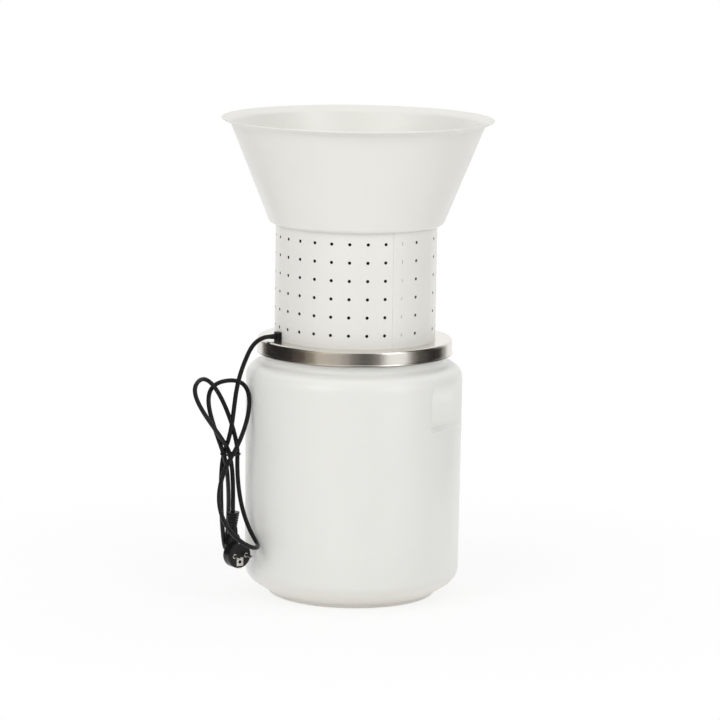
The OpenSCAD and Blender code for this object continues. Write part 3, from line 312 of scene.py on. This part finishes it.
def brushed(name, colour, lines=900.0, height=0.00003, rough=(0.16, 0.27)):
    """Sheet or bar metal with fine lines round the Z axis"""
    material, tree, shader = new_material(name, metallic=1.0)
    lay = put_group(tree, "brushing", {"Lines": lines, "Rough low": rough[0], "Rough high": rough[1]})
    tone = add(tree, "ShaderNodeMix", {"A": rgba(colour, LINE_SHADE), "B": rgba(colour)}, data_type="RGBA")
    tree.links.new(lay.outputs["Shade"], tone.inputs["Factor"])
    tree.links.new(tone.outputs["Result"], shader.inputs["Base Color"])
    tree.links.new(lay.outputs["Roughness"], shader.inputs["Roughness"])
    put_bump(tree, lay.outputs["Height"], shader, height)
    return material


# Where each painted shade and painted light starts and where it is full, in metres from the axis or above
# the floor
HOUSING_INSIDE_SHADE = (0.1148, 0.1145)
PAN_UNDERSIDE_SHADE = (0.3515, 0.3495)
DRUM_FOOT_WARM_SHADE = (0.034, 0.022)
DRUM_INSET_LIGHT = (0.1525, 0.148)


def tinted(material, measure, span, tint):
    """Tints the colour step by step over a span of a measure of the place"""
    tree = material.node_tree
    shader = tree.nodes["Principled BSDF"]
    place = put_group(tree, "place", {})
    share = add(tree, "ShaderNodeMapRange", {"From Min": span[0], "From Max": span[1]})
    blend = add(tree, "ShaderNodeMix", {"B": rgba(tint)}, data_type="RGBA", blend_type="MULTIPLY")
    colour = shader.inputs["Base Color"].links[0].from_socket
    tree.links.new(place.outputs[measure], share.inputs["Value"])
    tree.links.new(share.outputs["Result"], blend.inputs["Factor"])
    tree.links.new(colour, blend.inputs["A"])
    tree.links.new(blend.outputs["Result"], shader.inputs["Base Color"])
    return material


def dress(names, material):
    """Gives nodes of the frame one material"""
    for name in names:
        slots = NODES[name].data.materials
        slots.clear()
        slots.append(material)


# Geometry helpers

def new_object(name, data):
    piece = bpy.data.objects.new(name, data)
    bpy.context.scene.collection.objects.link(piece)
    return piece


def mesh_from(name, build, material, smooth=35.0):
    """A mesh object that build(bm) fills, smooth up to an angle in degrees"""
    bm = bmesh.new()
    build(bm)
    bmesh.ops.recalc_face_normals(bm, faces=bm.faces)
    mesh = bpy.data.meshes.new(name)
    bm.to_mesh(mesh)
    bm.free()
    mesh.materials.append(material)
    mesh.shade_smooth()
    mesh.set_sharp_from_angle(angle=math.radians(smooth))
    return new_object(name, mesh)


def round_curve(name, points, radius, material, sides):
    """A round wire through closely spaced points, as one open spline"""
    curve = bpy.data.curves.new(name, "CURVE")
    curve.dimensions = "3D"
    curve.bevel_depth = radius
    curve.bevel_resolution = sides
    curve.use_fill_caps = True
    spline = curve.splines.new("POLY")
    spline.points.add(len(points) - 1)
    for target, point in zip(spline.points, points):
        target.co = (*point, 1.0)
    spline.use_smooth = True
    curve.materials.append(material)
    return new_object(name, curve)


def arc(centre, radius, start, end, steps):
    """Points on a flat arc, from one angle in degrees to another"""
    angles = [math.radians(start + (end - start) * i / steps) for i in range(steps + 1)]
    return [(centre[0] + radius * math.cos(a), centre[1] + radius * math.sin(a)) for a in angles]


def ease(value, low, high):
    """Smooth step from 0 at low to 1 at high"""
    t = min(max((value - low) / (high - low), 0.0), 1.0)
    return t * t * (3 - 2 * t)


def degrees_from(angle, direction):
    """Signed turn from a direction to an angle, within half a turn"""
    return (angle - direction + 180) % 360 - 180


def bezier(a, b, c, d, u):
    """Point at a share u of a cubic curve from a to d"""
    return a * (1 - u) ** 3 + b * 3 * u * (1 - u) ** 2 + c * 3 * u * u * (1 - u) + d * u ** 3


# Drum: a blown shell with two grips pressed into its wall

DRUM_RADIUS = 0.154
DRUM_WALL = 0.0025
# The wall widens a little from the floor up to this height, over this outermost part of the radius
FLARE, FLARE_TOP, FLARE_BAND = 0.0012, 0.31, 0.03
GRIP_DIRECTIONS = (-27.5, 152.5)
GRIP_DEPTH = 0.015
# Degrees from a grip's direction: the steep front end, and where and how slowly the rear end runs out
GRIP_FRONT = (-17.5, -13.5)
GRIP_REAR, GRIP_REAR_RUN = 28.0, 41.0
# Heights of the steep lower lip and of the slanting roof
GRIP_LIP = (0.2515, 0.2555)
GRIP_ROOF = (0.284, 0.323)
# Heights between which the straight wall has this many rows of faces, closest at the lips
WALL_HEIGHTS = (0.040, 0.240, 0.251, 0.2564, 0.312)
WALL_ROWS = (6, 3, 9, 24)
# Degrees between the columns of faces, near the grips and elsewhere
COLUMN_FINE, COLUMN_COARSE, FINE_REACH = 0.8, 2.4, 38


def grip_depth(angle, height):
    """How far the drum's wall is pressed in at a place"""
    deepest = 0.0
    for direction in GRIP_DIRECTIONS:
        off = degrees_from(math.degrees(angle), direction)
        across = ease(off, *GRIP_FRONT) * min(1.0, max(0.0, (GRIP_REAR - off) / GRIP_REAR_RUN))
        up = ease(height, *GRIP_LIP) * (1 - ease(height, *GRIP_ROOF))
        deepest = max(deepest, GRIP_DEPTH * across * up)
    return deepest


# Cord: the same points and loops as in the part's source, in metres

GLAND_DIRECTION = math.radians(203)
# The cord leaves the gland at this distance from the mill's axis and this height
EXIT_REACH, EXIT_HEIGHT = 0.130, 0.377
CORD_EXIT = Vector((
    math.cos(GLAND_DIRECTION) * EXIT_REACH, math.sin(GLAND_DIRECTION) * EXIT_REACH, EXIT_HEIGHT))
LEAD_POINTS = [Vector(p) for p in (
    (-0.1274, -0.0542, 0.3764), (-0.1332, -0.0568, 0.3744), (-0.1388, -0.0590, 0.3708),
    (-0.1440, -0.0610, 0.3654), (-0.1486, -0.0626, 0.3580), (-0.1528, -0.0642, 0.3486),
    (-0.1570, -0.0658, 0.3380), (-0.1609, -0.0674, 0.3260), (-0.1642, -0.0690, 0.3130),
    (-0.1668, -0.0706, 0.2990), (-0.1688, -0.0718, 0.2830), (-0.1706, -0.0724, 0.2670),
    (-0.1726, -0.0720, 0.2520), (-0.1749, -0.0708, 0.2400))]
WAIST_Z = 0.211
# The first strand is straight for this height above the waist
STRAIGHT = 0.012
# Strands at the waist: place, and lean per metre of height
STRANDS = [(Vector((x, y, WAIST_Z)), Vector((lean_x, lean_y, 1.0))) for x, y, lean_x, lean_y in (
    (-0.1830, -0.0685, 0.30, -0.04), (-0.1830, -0.0800, -0.32, 0.00), (-0.1710, -0.0860, 0.58, 0.26),
    (-0.1640, -0.0710, 0.02, 0.00), (-0.1750, -0.0735, -0.18, -0.42))]
# Loops between them: far point, half width there, reach in and reach out
LOOPS = [(Vector(far), Vector(half), reach_in, reach_out) for far, half, reach_in, reach_out in (
    ((-0.1795, -0.0415, 0.0730), (0.0005, 0.0660, 0.0185), 0.033, 0.032),
    ((-0.1790, -0.0455, 0.3120), (0.0495, -0.0015, 0.0060), 0.048, 0.037),
    ((-0.1345, -0.1125, 0.0845), (0.0100, 0.0435, -0.0050), 0.088, 0.109),
    ((-0.2200, -0.0810, 0.3160), (-0.0195, -0.0505, -0.0145), 0.0315, 0.027))]
PLUG_FACE = Vector((-0.1580, -0.0939, 0.0684))
PLUG_TURN = math.radians(-55)
PLUG_AXIS = Vector((math.cos(PLUG_TURN), math.sin(PLUG_TURN), 0))
# The cord ends in the top of the relief, this far behind the plug's face and above its middle
ENTRY_BACK, ENTRY_RISE = 0.020, 0.060
PLUG_ENTRY = PLUG_FACE - PLUG_AXIS * ENTRY_BACK + Vector((0, 0, ENTRY_RISE))
# How far the last strand reaches on before it turns down into the relief
ENTRY_REACH = 0.030
# Points of the route from one given point of the lead to the next, on half a loop, and at the end
LEAD_STEPS, STRAIGHT_STEPS, LOOP_STEPS, ENTRY_STEPS = 6, 4, 40, 16


def smooth_through(points, steps):
    """Points on a curve that passes through all of the given ones"""
    line = [points[0] * 2 - points[1]] + points + [points[-1] * 2 - points[-2]]
    out = []
    for i in range(1, len(line) - 2):
        a, b, c, d = line[i - 1:i + 3]
        chord = [max((q - p).length, 1e-6) ** 0.5 for p, q in ((a, b), (b, c), (c, d))]
        m1 = (b - a) / chord[0] - (c - a) / (chord[0] + chord[1]) + (c - b) / chord[1]
        m2 = (c - b) / chord[1] - (d - b) / (chord[1] + chord[2]) + (d - c) / chord[2]
        h1 = b + m1 * chord[1] / 3
        h2 = c - m2 * chord[1] / 3
        out += [bezier(b, h1, h2, c, k / steps) for k in range(steps)]
    return out + [points[-1]]


def cord_route():
    """Centreline of the whole cord, from the gland to the plug"""
    out = Vector((math.cos(GLAND_DIRECTION), math.sin(GLAND_DIRECTION), 0))
    first, lean = STRANDS[0]
    lead = [CORD_EXIT, CORD_EXIT + out * (CORD_DIAMETER / 2)] + LEAD_POINTS
    lead += [first + lean * (STRAIGHT + CORD_DIAMETER), first + lean * STRAIGHT]
    route = smooth_through(lead, LEAD_STEPS)[:-1]
    route += [first + lean * STRAIGHT * (1 - k / STRAIGHT_STEPS) for k in range(STRAIGHT_STEPS)]
    for k, (far, half, reach_in, reach_out) in enumerate(LOOPS):
        side = 1 if k % 2 else -1
        (a, lean_a), (b, lean_b) = STRANDS[k], STRANDS[k + 1]
        shares = [i / LOOP_STEPS for i in range(LOOP_STEPS)]
        route += [bezier(a, a + lean_a * side * reach_in, far - half, far, u) for u in shares]
        route += [bezier(far, far + half, b + lean_b * side * reach_out, b, u) for u in shares]
    last, lean = STRANDS[4]
    top = PLUG_ENTRY + Vector((0, 0, CORD_DIAMETER))
    reach = Vector((0, 0, ENTRY_REACH))
    route += [
        bezier(last, last - lean * ENTRY_REACH, top + reach, top, i / ENTRY_STEPS)
        for i in range(ENTRY_STEPS + 1)]
    return route + [PLUG_ENTRY]


# Directions of the tangents, in degrees to each side, that a loop round the strands is found from
TANGENTS = range(-80, 81, 8)


def hank_outline(height, radius, angle):
    """Where the tightest loop round all strands passes, in one direction from their middle"""
    centres = [place + lean * (height - WAIST_Z) for place, lean in STRANDS]
    middle = sum(centres, Vector()) / len(centres)
    reaches = []
    for turn in [angle + math.radians(s) for s in TANGENTS]:
        outward = Vector((math.cos(turn), math.sin(turn), 0))
        furthest = max((centre - middle).dot(outward) for centre in centres)
        reaches.append((furthest + radius) / math.cos(turn - angle))
    reach = min(reaches)
    return Vector((middle.x + reach * math.cos(angle), middle.y + reach * math.sin(angle), height))


# Rise of the tie per turn, as a multiple of its wire's thickness, and its points per turn
TIE_SPACING = 1.04
TIE_STEPS = 36
# Points left out at the end of the last turn, where the wire stops short
TIE_GAP = 4


class MILL_OT_cord(Operator):
    """Builds the mains cord with its hank and the wire that ties it"""
    bl_idname = "mill.cord"
    bl_label = "Cord and tie"

    def execute(self, context):
        sizes = context.scene.mill_cord
        black = context.scene.mill_finishes.black
        rubber = grained(
            "Cord rubber", black, cloud=1.5, scale=900.0, height=0.00002,
            rough=(0.28, 0.36), specular_ior_level=0.25)
        cover = grained(
            "Tie cover", black, cloud=1.3, scale=1500.0, height=0.00002,
            rough=(0.35, 0.5), specular_ior_level=0.25)
        cord = round_curve("mains_cord", cord_route(), sizes.diameter / 2, rubber, sides=3)
        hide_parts("cord_lead", "cord_hank")
        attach(cord, HEAD)
        tie = round_curve("hank_tie", self.tie_route(sizes), sizes.tie_wire / 2, cover, sides=2)
        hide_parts("cord_tie")
        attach(tie, HEAD)
        dress(["cord_gland"], grained(
            "Gland plastic", black, cloud=1.4, scale=700.0, height=0.00003,
            rough=(0.35, 0.5), specular_ior_level=0.25))
        return {"FINISHED"}

    def tie_route(self, sizes):
        """Centreline of the wire round the strands"""
        radius = sizes.diameter / 2 + sizes.tie_wire / 2
        low = WAIST_Z - sizes.tie_wire * (sizes.tie_turns - 1) / 2
        pitch = sizes.tie_wire * TIE_SPACING
        return [
            hank_outline(low + pitch * i / TIE_STEPS, radius, 2 * math.pi * i / TIE_STEPS)
            for i in range(sizes.tie_turns * TIE_STEPS - TIE_GAP)]


class MILL_OT_cord_facts(Operator):
    bl_idname = "mill.cord_facts"
    bl_label = "Cord facts"

    def execute(self, context):
        return {"FINISHED"}


class MILL_OT_plug(Operator):
    """Finishes the plug, its ribbed relief, pins and earth clips"""
    bl_idname = "mill.plug"
    bl_label = "Plug"

    def execute(self, context):
        black = context.scene.mill_finishes.black
        dress(["plug_body", "plug_relief"], grained(
            "Plug plastic", black, cloud=1.6, scale=800.0, height=0.00004,
            rough=(0.28, 0.38), specular_ior_level=0.3))
        dress(["plug_pins", "plug_clips"], grained(
            "Nickel plate", (0.62, 0.6, 0.57), cloud=0.85, scale=600.0, height=0.00001,
            rough=(0.15, 0.28), metallic=1.0))
        return {"FINISHED"}


class MILL_OT_sheet_metal(Operator):
    """Coats the housing and the hopper white and finishes the plain sheet parts"""
    bl_idname = "mill.sheet_metal"
    bl_label = "Painted and plated sheet"

    def execute(self, context):
        finishes = context.scene.mill_finishes
        for name in ("hopper", "housing"):
            coat = grained(
                f"White powder coat, {name}", finishes.paint, cloud=0.965, scale=420.0,
                height=finishes.peel, rough=(0.32, 0.42), mottle=5.0, amount=0.6,
                coat_weight=0.05, coat_roughness=0.2)
            dress([name], coat)
            # Painted shade: the inside of the perforated sheet and the walls of its holes are coloured
            # dark, for the shade inside the closed housing
            if name == "housing":
                tinted(coat, "Radius", HOUSING_INSIDE_SHADE, (0.12, 0.11, 0.1))
        zinc = grained(
            "Zinc plate", (0.55, 0.56, 0.57), cloud=0.7, scale=160.0, height=0.00003,
            rough=(0.34, 0.55), mottle=60.0, amount=0.8, metallic=1.0)
        dress([
            "housing_ring", "housing_screws", "top_deck", "hopper_screws", "gate_rails", "feed_tube",
            "chamber_bolts", "motor_bolts", "beater_nut"], zinc)
        return {"FINISHED"}


class MILL_OT_steel(Operator):
    """Brushes the pan lid, the gate and the grinding chamber"""
    bl_idname = "mill.steel"
    bl_label = "Stainless steel"

    def execute(self, context):
        finishes = context.scene.mill_finishes
        sheet = brushed("Brushed stainless", finishes.steel, height=finishes.brushing)
        dress(["feed_gate", "chamber_ring", "chamber_floor"], sheet)
        # Painted shade: the pan's colour is darkened below its rolled lower edge, where shade falls under
        # it
        pan = brushed("Brushed pan", finishes.steel, height=finishes.brushing)
        dress(["lid_pan"], tinted(pan, "Height", PAN_UNDERSIDE_SHADE, (0.25, 0.23, 0.21)))
        ground = brushed("Ground steel", (0.5, 0.5, 0.51), lines=1500.0, height=0.00001, rough=(0.15, 0.25))
        dress([
            "motor_shaft", "lower_bearing", "upper_bearing", "beater_hub", "beater_bar",
            "brush_springs"], ground)
        return {"FINISHED"}


class MILL_OT_drum(Operator):
    """Builds the blown drum with its pressed grips, and gives its seal its rubber"""
    bl_idname = "mill.drum"
    bl_label = "Drum"

    def execute(self, context):
        colour = context.scene.mill_finishes.drum
        milky = grained(
            "Blown plastic", colour, cloud=0.96, scale=240.0, height=0.00005, rough=(0.3, 0.4),
            mottle=4.0, amount=0.7, subsurface_weight=0.2, subsurface_scale=0.004,
            subsurface_radius=(1.0, 0.9, 0.8))
        # Painted shade and painted warm reflection: the drum's colour turns warmer and a little darker
        # towards its foot
        tinted(milky, "Height", DRUM_FOOT_WARM_SHADE, (1.0, 0.965, 0.94))
        # Painted light: the colour is lighter where the wall lies inside its full radius, in the pressed
        # grips and on the shoulder and neck
        tinted(milky, "Radius", DRUM_INSET_LIGHT, (1.08, 1.08, 1.08))
        shell = mesh_from("drum_shell", self.shell, milky, smooth=50.0)
        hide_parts("drum")
        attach(shell, "drum_body")
        dress(["drum_seal"], grained(
            "Seal rubber", (0.06, 0.06, 0.06), cloud=1.5, scale=700.0, rough=(0.55, 0.7)))
        return {"FINISHED"}

    def outline(self, inset):
        """Half outline of the drum from its underside to its rim, as (radius, height)"""
        wall = DRUM_RADIUS
        # Radii of the roundings below and at the shoulder, of the hollow above it and of the neck
        base, shoulder, fillet, neck = 0.026, 0.023, 0.006, 0.131
        base_height, shoulder_top, rim = WALL_HEIGHTS[0], 0.336, 0.366
        # The foot: its radius, height, rounded edge and level ring, and the floor above it
        foot, foot_height, foot_edge, foot_ring = 0.120, 0.004, 0.003, 0.014
        floor_height, floor_middle, floor_radius = 0.0075, 0.06, 0.1209
        # The bead round the neck: how far it stands out, and half its height with its edges
        bead_height, bead, bead_sink, bead_half = 0.356, 0.004, 0.00125, 0.0062
        chamfer = 0.0004
        points = []
        if inset == 0:
            points += [(foot - foot_ring, 0.0), (foot - foot_edge, 0.0)]
            points += arc((foot - foot_edge, foot_edge), foot_edge, -90, 0, 4)[1:]
            points += [(foot, foot_height)]
        else:
            points += [(0.0, floor_height), (floor_middle, floor_height), (floor_radius, floor_height)]
        # A cone rises from the foot to the rounding
        points += arc((wall - base, base_height), base - inset, -58, 0, 12)
        rows = []
        for low, high, count in zip(WALL_HEIGHTS, WALL_HEIGHTS[1:], WALL_ROWS):
            rows += [(wall - inset, low + (high - low) * i / count) for i in range(count)]
        points += rows[1:]
        shoulder_low = shoulder_top - shoulder
        points += arc((wall - shoulder, shoulder_low), shoulder - inset, 0, 68, 14)
        turn_reach = neck + fillet
        turn_rise = math.sqrt((shoulder + fillet) ** 2 - (turn_reach - wall + shoulder) ** 2)
        points += arc((turn_reach, shoulder_low + turn_rise), fillet + inset, 252, 180, 6)
        if inset == 0:
            points += [(neck, bead_height - bead_half)]
            points += arc((neck - bead_sink, bead_height), bead + bead_sink, -72, 72, 10)
            points += [(neck, bead_height + bead_half), (neck, rim - chamfer), (neck - chamfer, rim)]
        else:
            points += [(neck - inset, rim - chamfer), (neck - inset + chamfer, rim)]
        return points

    def shell(self, bm):
        """Turns the outline round the axis, and flares and presses in its side"""
        # The underside is hollow inside the foot's ring
        hollow_radius, hollow_height, hollow_slope = 0.104, 0.0015, 0.0015
        hollow = [
            (0.0, hollow_height), (hollow_radius, hollow_height), (hollow_radius + hollow_slope, 0.0)]
        profile = hollow + self.outline(0) + self.outline(DRUM_WALL)[::-1]
        start = bm.verts.new((0, 0, profile[0][1]))
        end = bm.verts.new((0, 0, profile[-1][1]))
        inner_edge = DRUM_RADIUS - FLARE_BAND
        rings = []
        for a in self.columns():
            ring = [start]
            for r, z in profile[1:-1]:
                if r > inner_edge:
                    r += FLARE * ease(z, 0.0, FLARE_TOP) * ease(r, inner_edge, DRUM_RADIUS)
                    r -= grip_depth(a, z)
                ring.append(bm.verts.new((r * math.cos(a), r * math.sin(a), z)))
            rings.append(ring + [end])
        for here, there in zip(rings, rings[1:] + rings[:1]):
            for j in range(len(profile) - 1):
                # Faces at the axis have three corners
                corners = [here[j], there[j], there[j + 1], here[j + 1]]
                bm.faces.new([v for i, v in enumerate(corners) if v not in corners[:i]])

    def columns(self):
        """Directions of the mesh's columns, close together at the grips"""
        directions, turn = [], 0.0
        while turn < 359.5:
            near = min(abs(degrees_from(turn, grip)) for grip in GRIP_DIRECTIONS)
            directions.append(math.radians(turn))
            turn += COLUMN_FINE if near < FINE_REACH else COLUMN_COARSE
        return directions


class MILL_OT_motor(Operator):
    """Finishes the motor, the electrical parts and the switch"""
    bl_idname = "mill.motor"
    bl_label = "Motor and switch"

    def execute(self, context):
        grained_plans = (
            (["motor_foot", "motor_cap"], "Cast alloy", (0.5, 0.5, 0.51),
             {"cloud": 0.8, "scale": 260.0, "height": 0.0001, "rough": (0.4, 0.6), "metallic": 1.0}),
            (["brush_holders"], "Pressed brass", (0.6, 0.43, 0.16),
             {"cloud": 0.8, "rough": (0.25, 0.4), "metallic": 1.0}),
            (["carbon_brushes"], "Carbon", (0.02, 0.02, 0.02),
             {"cloud": 1.6, "scale": 1500.0, "rough": (0.5, 0.7)}),
            (["shaft_seal"], "Felt", (0.4, 0.34, 0.25),
             {"cloud": 0.7, "scale": 1800.0, "height": 0.0003, "rough": (0.85, 0.95)}),
            (["cooling_fan"], "Fan plastic", (0.03, 0.03, 0.035),
             {"cloud": 1.5, "scale": 600.0, "rough": (0.35, 0.5)}),
            (["capacitor"], "Capacitor can", (0.6, 0.62, 0.66),
             {"cloud": 0.9, "scale": 500.0, "rough": (0.3, 0.4)}),
            (["terminal_block"], "Ivory plastic", (0.7, 0.65, 0.5),
             {"cloud": 0.9, "scale": 600.0, "rough": (0.4, 0.55)}),
            (["cord_clamp"], "Clamp plastic", (0.03, 0.03, 0.03),
             {"cloud": 1.5, "scale": 700.0, "rough": (0.4, 0.55)}),
            (["inner_leads"], "Lead cover", (0.12, 0.05, 0.025),
             {"cloud": 1.4, "scale": 900.0, "rough": (0.35, 0.5)}),
            (["switch_frame"], "Switch frame", (0.02, 0.02, 0.022),
             {"cloud": 1.5, "scale": 700.0, "rough": (0.3, 0.42)}),
            (["switch_rocker"], "Red rocker", (0.45, 0.015, 0.012),
             {"cloud": 0.85, "scale": 700.0, "rough": (0.2, 0.3)}),
        )
        brushed_plans = (
            (["stator_core", "armature_core"], "Stacked laminations", (0.12, 0.125, 0.14),
             {"lines": 2400.0, "height": 0.00008, "rough": (0.4, 0.6)}),
            (["field_coils", "armature_coils"], "Enamelled wire", (0.55, 0.2, 0.06),
             {"lines": 1400.0, "height": 0.0002, "rough": (0.2, 0.35)}),
            (["commutator"], "Turned copper", (0.75, 0.36, 0.2), {"lines": 1200.0, "rough": (0.2, 0.35)}),
        )
        for maker, plans in ((grained, grained_plans), (brushed, brushed_plans)):
            for names, label, colour, look in plans:
                dress(names, maker(label, colour, **look))
        return {"FINISHED"}


# Stage

SENSOR = 36.0
# The camera fitted to the mill in the photograph: its place, and where it looks and has its right side
CAMERA_PLACE = Vector((0, -5.0754, 1.1888))
CAMERA_FORWARD = Vector((0.0015458, 0.9862057, -0.1655171))
CAMERA_RIGHT = Vector((0.9998744, 0.0010864, 0.0158109))
LAMP_AIM = Vector((0, 0, 0.35))
# Half the side of the floor, and how far it lies below the foot
FLOOR_REACH, FLOOR_GAP = 40, 0.0003
# The shadow shows in full within the first distance from the mill, and is gone at the second
SHADOW_SPAN = (0.3, 0.8)
SCREEN_DISTANCE, SCREEN_HEIGHT = 0.9, 1.7
# Widest strip of a screen, in degrees
SCREEN_STRIP = 6


def by_ray(tree, path, seen, plain, lit):
    """One shader for rays where seen is 1 and for rays from mirrors and glass, and another for the rest"""
    mirror = add(tree, "ShaderNodeMath", operation="MAXIMUM")
    most = add(tree, "ShaderNodeMath", operation="MAXIMUM")
    mix = add(tree, "ShaderNodeMixShader")
    link = tree.links.new
    link(path.outputs["Is Glossy Ray"], mirror.inputs[0])
    link(path.outputs["Is Transmission Ray"], mirror.inputs[1])
    link(seen, most.inputs[0])
    link(mirror.outputs["Value"], most.inputs[1])
    link(most.outputs["Value"], mix.inputs["Fac"])
    link(lit, mix.inputs[1])
    link(plain, mix.inputs[2])
    return mix.outputs["Shader"]


class MILL_OT_stage(Operator):
    """Sets the camera, the pale floor, the lamps and the world"""
    bl_idname = "mill.stage"
    bl_label = "Stage"

    def execute(self, context):
        studio = context.scene.mill_studio
        self.camera(context, studio)
        self.floor()
        self.world(context, studio)
        self.lamps(studio)
        self.screens()
        context.scene.view_settings.view_transform = "Standard"
        return {"FINISHED"}

    def camera(self, context, studio):
        """The view of the photograph"""
        data = bpy.data.cameras.new("Camera")
        data.lens = studio.lens
        data.sensor_width = SENSOR
        camera = new_object("Camera", data)
        up = CAMERA_RIGHT.cross(CAMERA_FORWARD)
        turn = Matrix((CAMERA_RIGHT, up, -CAMERA_FORWARD)).transposed().to_4x4()
        camera.matrix_world = Matrix.Translation(CAMERA_PLACE) @ turn
        context.scene.camera = camera

    def floor(self):
        """Pale floor that looks white to the camera and to shiny metal, and keeps the shadow"""
        def build(bm):
            bmesh.ops.create_grid(bm, x_segments=2, y_segments=2, size=FLOOR_REACH)
        material = bpy.data.materials.new("Pale floor")
        material.use_nodes = True
        tree = material.node_tree
        tree.nodes.clear()
        out = add(tree, "ShaderNodeOutputMaterial")
        lit = add(tree, "ShaderNodeBsdfDiffuse", {"Color": rgba((0.95, 0.95, 0.95))})
        plain = add(tree, "ShaderNodeEmission", {"Color": rgba((1, 1, 1)), "Strength": 1.0})
        path = add(tree, "ShaderNodeLightPath")
        place = add(tree, "ShaderNodeTexCoord")
        away = add(tree, "ShaderNodeVectorMath", operation="LENGTH")
        share = add(tree, "ShaderNodeMapRange", {
            "From Min": SHADOW_SPAN[0], "From Max": SHADOW_SPAN[1], "To Min": 0.8, "To Max": 1.0})
        seen = add(tree, "ShaderNodeMath", operation="MULTIPLY")
        link = tree.links.new
        link(place.outputs["Object"], away.inputs[0])
        link(away.outputs["Value"], share.inputs["Value"])
        link(path.outputs["Is Camera Ray"], seen.inputs[0])
        link(share.outputs["Result"], seen.inputs[1])
        mixed = by_ray(
            tree, path, seen.outputs["Value"], plain.outputs["Emission"], lit.outputs["BSDF"])
        link(mixed, out.inputs["Surface"])
        floor = mesh_from("studio_floor", build, material)
        floor.location.z = -FLOOR_GAP

    def world(self, context, studio):
        """Even light from all round, which the camera and shiny metal see as plain white"""
        world = bpy.data.worlds.new("Studio")
        world.use_nodes = True
        tree = world.node_tree
        tree.nodes.clear()
        white = rgba((1, 1, 1))
        out = add(tree, "ShaderNodeOutputWorld")
        light = add(tree, "ShaderNodeBackground", {"Color": white, "Strength": studio.world_level})
        plain = add(tree, "ShaderNodeBackground", {"Color": white, "Strength": 1.0})
        path = add(tree, "ShaderNodeLightPath")
        mixed = by_ray(
            tree, path, path.outputs["Is Camera Ray"], plain.outputs["Background"],
            light.outputs["Background"])
        tree.links.new(mixed, out.inputs["Surface"])
        context.scene.world = world

    def lamps(self, studio):
        """Two large lamps in front, which shiny metal mirrors, one above and two strips behind"""
        plans = (
            ("left_lamp", (-2.0, -2.4, 2.1), (2.2, 2.0), studio.key_power * 0.97, True),
            ("right_lamp", (2.1, -2.2, 2.1), (2.0, 2.0), studio.key_power * 0.76, True),
            ("top_lamp", (0, 0.3, 2.8), (2.0, 2.0), studio.top_power, False),
            ("left_rim_lamp", (-1.5, 1.1, 0.7), (0.6, 1.6), studio.rim_power, False),
            ("right_rim_lamp", (1.5, 1.1, 0.7), (0.6, 1.6), studio.rim_power, False),
        )
        for name, place, size, power, mirrored in plans:
            data = bpy.data.lights.new(name, "AREA")
            data.shape = "RECTANGLE"
            data.size, data.size_y = size
            data.energy = power
            lamp = new_object(name, data)
            lamp.location = place
            lamp.rotation_euler = (LAMP_AIM - Vector(place)).to_track_quat("-Z", "Y").to_euler()
            lamp.visible_glossy = mirrored

    def screens(self):
        """Screens beside the camera, which only the shiny metal shows"""
        # Directions from the mill, in degrees to the right of the camera, and how dark
        plans = (
            (-132, -122, (0.15, 0.14, 0.13)), (-122, -72, (0.012, 0.011, 0.01)),
            (-72, -56, (0.07, 0.055, 0.045)), (-56, -44, (0.26, 0.22, 0.18)),
            (-44, -28, (0.66, 0.6, 0.52)), (-28, -15, (0.62, 0.57, 0.52)),
            (-15, -5, (0.46, 0.43, 0.4)), (-5, 5, (0.2, 0.19, 0.18)), (5, 20, (0.1, 0.095, 0.09)),
            (20, 29, (0.2, 0.19, 0.18)), (29, 34, (0.6, 0.58, 0.55)), (61, 66, (0.5, 0.48, 0.45)),
            (66, 72, (0.2, 0.18, 0.16)), (72, 90, (0.06, 0.055, 0.05)),
            (90, 118, (0.012, 0.011, 0.01)), (118, 130, (0.4, 0.39, 0.38)))
        for index, (start, end, tone) in enumerate(plans):
            material, _, shader = new_material(f"Screen {index}", roughness=1.0)
            shader.inputs["Base Color"].default_value = rgba(tone)

            def build(bm):
                turns = max(2, int((end - start) / SCREEN_STRIP))
                rows = []
                for i in range(turns + 1):
                    a = math.radians(start + (end - start) * i / turns)
                    place = Vector((SCREEN_DISTANCE * math.sin(a), -SCREEN_DISTANCE * math.cos(a), 0))
                    rows.append([bm.verts.new(place + Vector((0, 0, z))) for z in (0.0, SCREEN_HEIGHT)])
                for left, right in zip(rows, rows[1:]):
                    bm.faces.new((left[0], right[0], right[1], left[1]))
            screen = mesh_from(f"screen_{index}", build, material)
            screen.visible_camera = False
            screen.visible_diffuse = False
            screen.visible_shadow = False
            screen.visible_transmission = False


class MILL_PT_panel(Panel):
    """Lists the mill's pieces in the order in which they are built"""
    bl_label = "Grain Mill"
    bl_idname = "MILL_PT_panel"
    bl_space_type = "VIEW_3D"
    bl_region_type = "UI"
    bl_category = "Grain Mill"

    def draw(self, context):
        layout = self.layout
        for step in STEPS:
            layout.operator(step.bl_idname)
        for key in SETTINGS:
            settings = getattr(context.scene, key)
            box = layout.box()
            for name in settings.__annotations__:
                box.prop(settings, name)


STEPS = (
    MILL_OT_stage, MILL_OT_cord, MILL_OT_plug, MILL_OT_sheet_metal, MILL_OT_steel, MILL_OT_drum,
    MILL_OT_motor, MILL_OT_cord_facts)
CLASSES = (MillFinishes, MillCord, MillStudio) + STEPS + (MILL_PT_panel,)
SETTINGS = {"mill_finishes": MillFinishes, "mill_cord": MillCord, "mill_studio": MillStudio}


def register():
    for cls in CLASSES:
        bpy.utils.register_class(cls)
    for name, kind in SETTINGS.items():
        setattr(bpy.types.Scene, name, PointerProperty(type=kind))


def unregister():
    for name in SETTINGS:
        delattr(bpy.types.Scene, name)
    for cls in reversed(CLASSES):
        bpy.utils.unregister_class(cls)


def main():
    register()
    for step in STEPS:
        module, name = step.bl_idname.split(".")
        getattr(getattr(bpy.ops, module), name)()


if __name__ == "__main__":
    main()
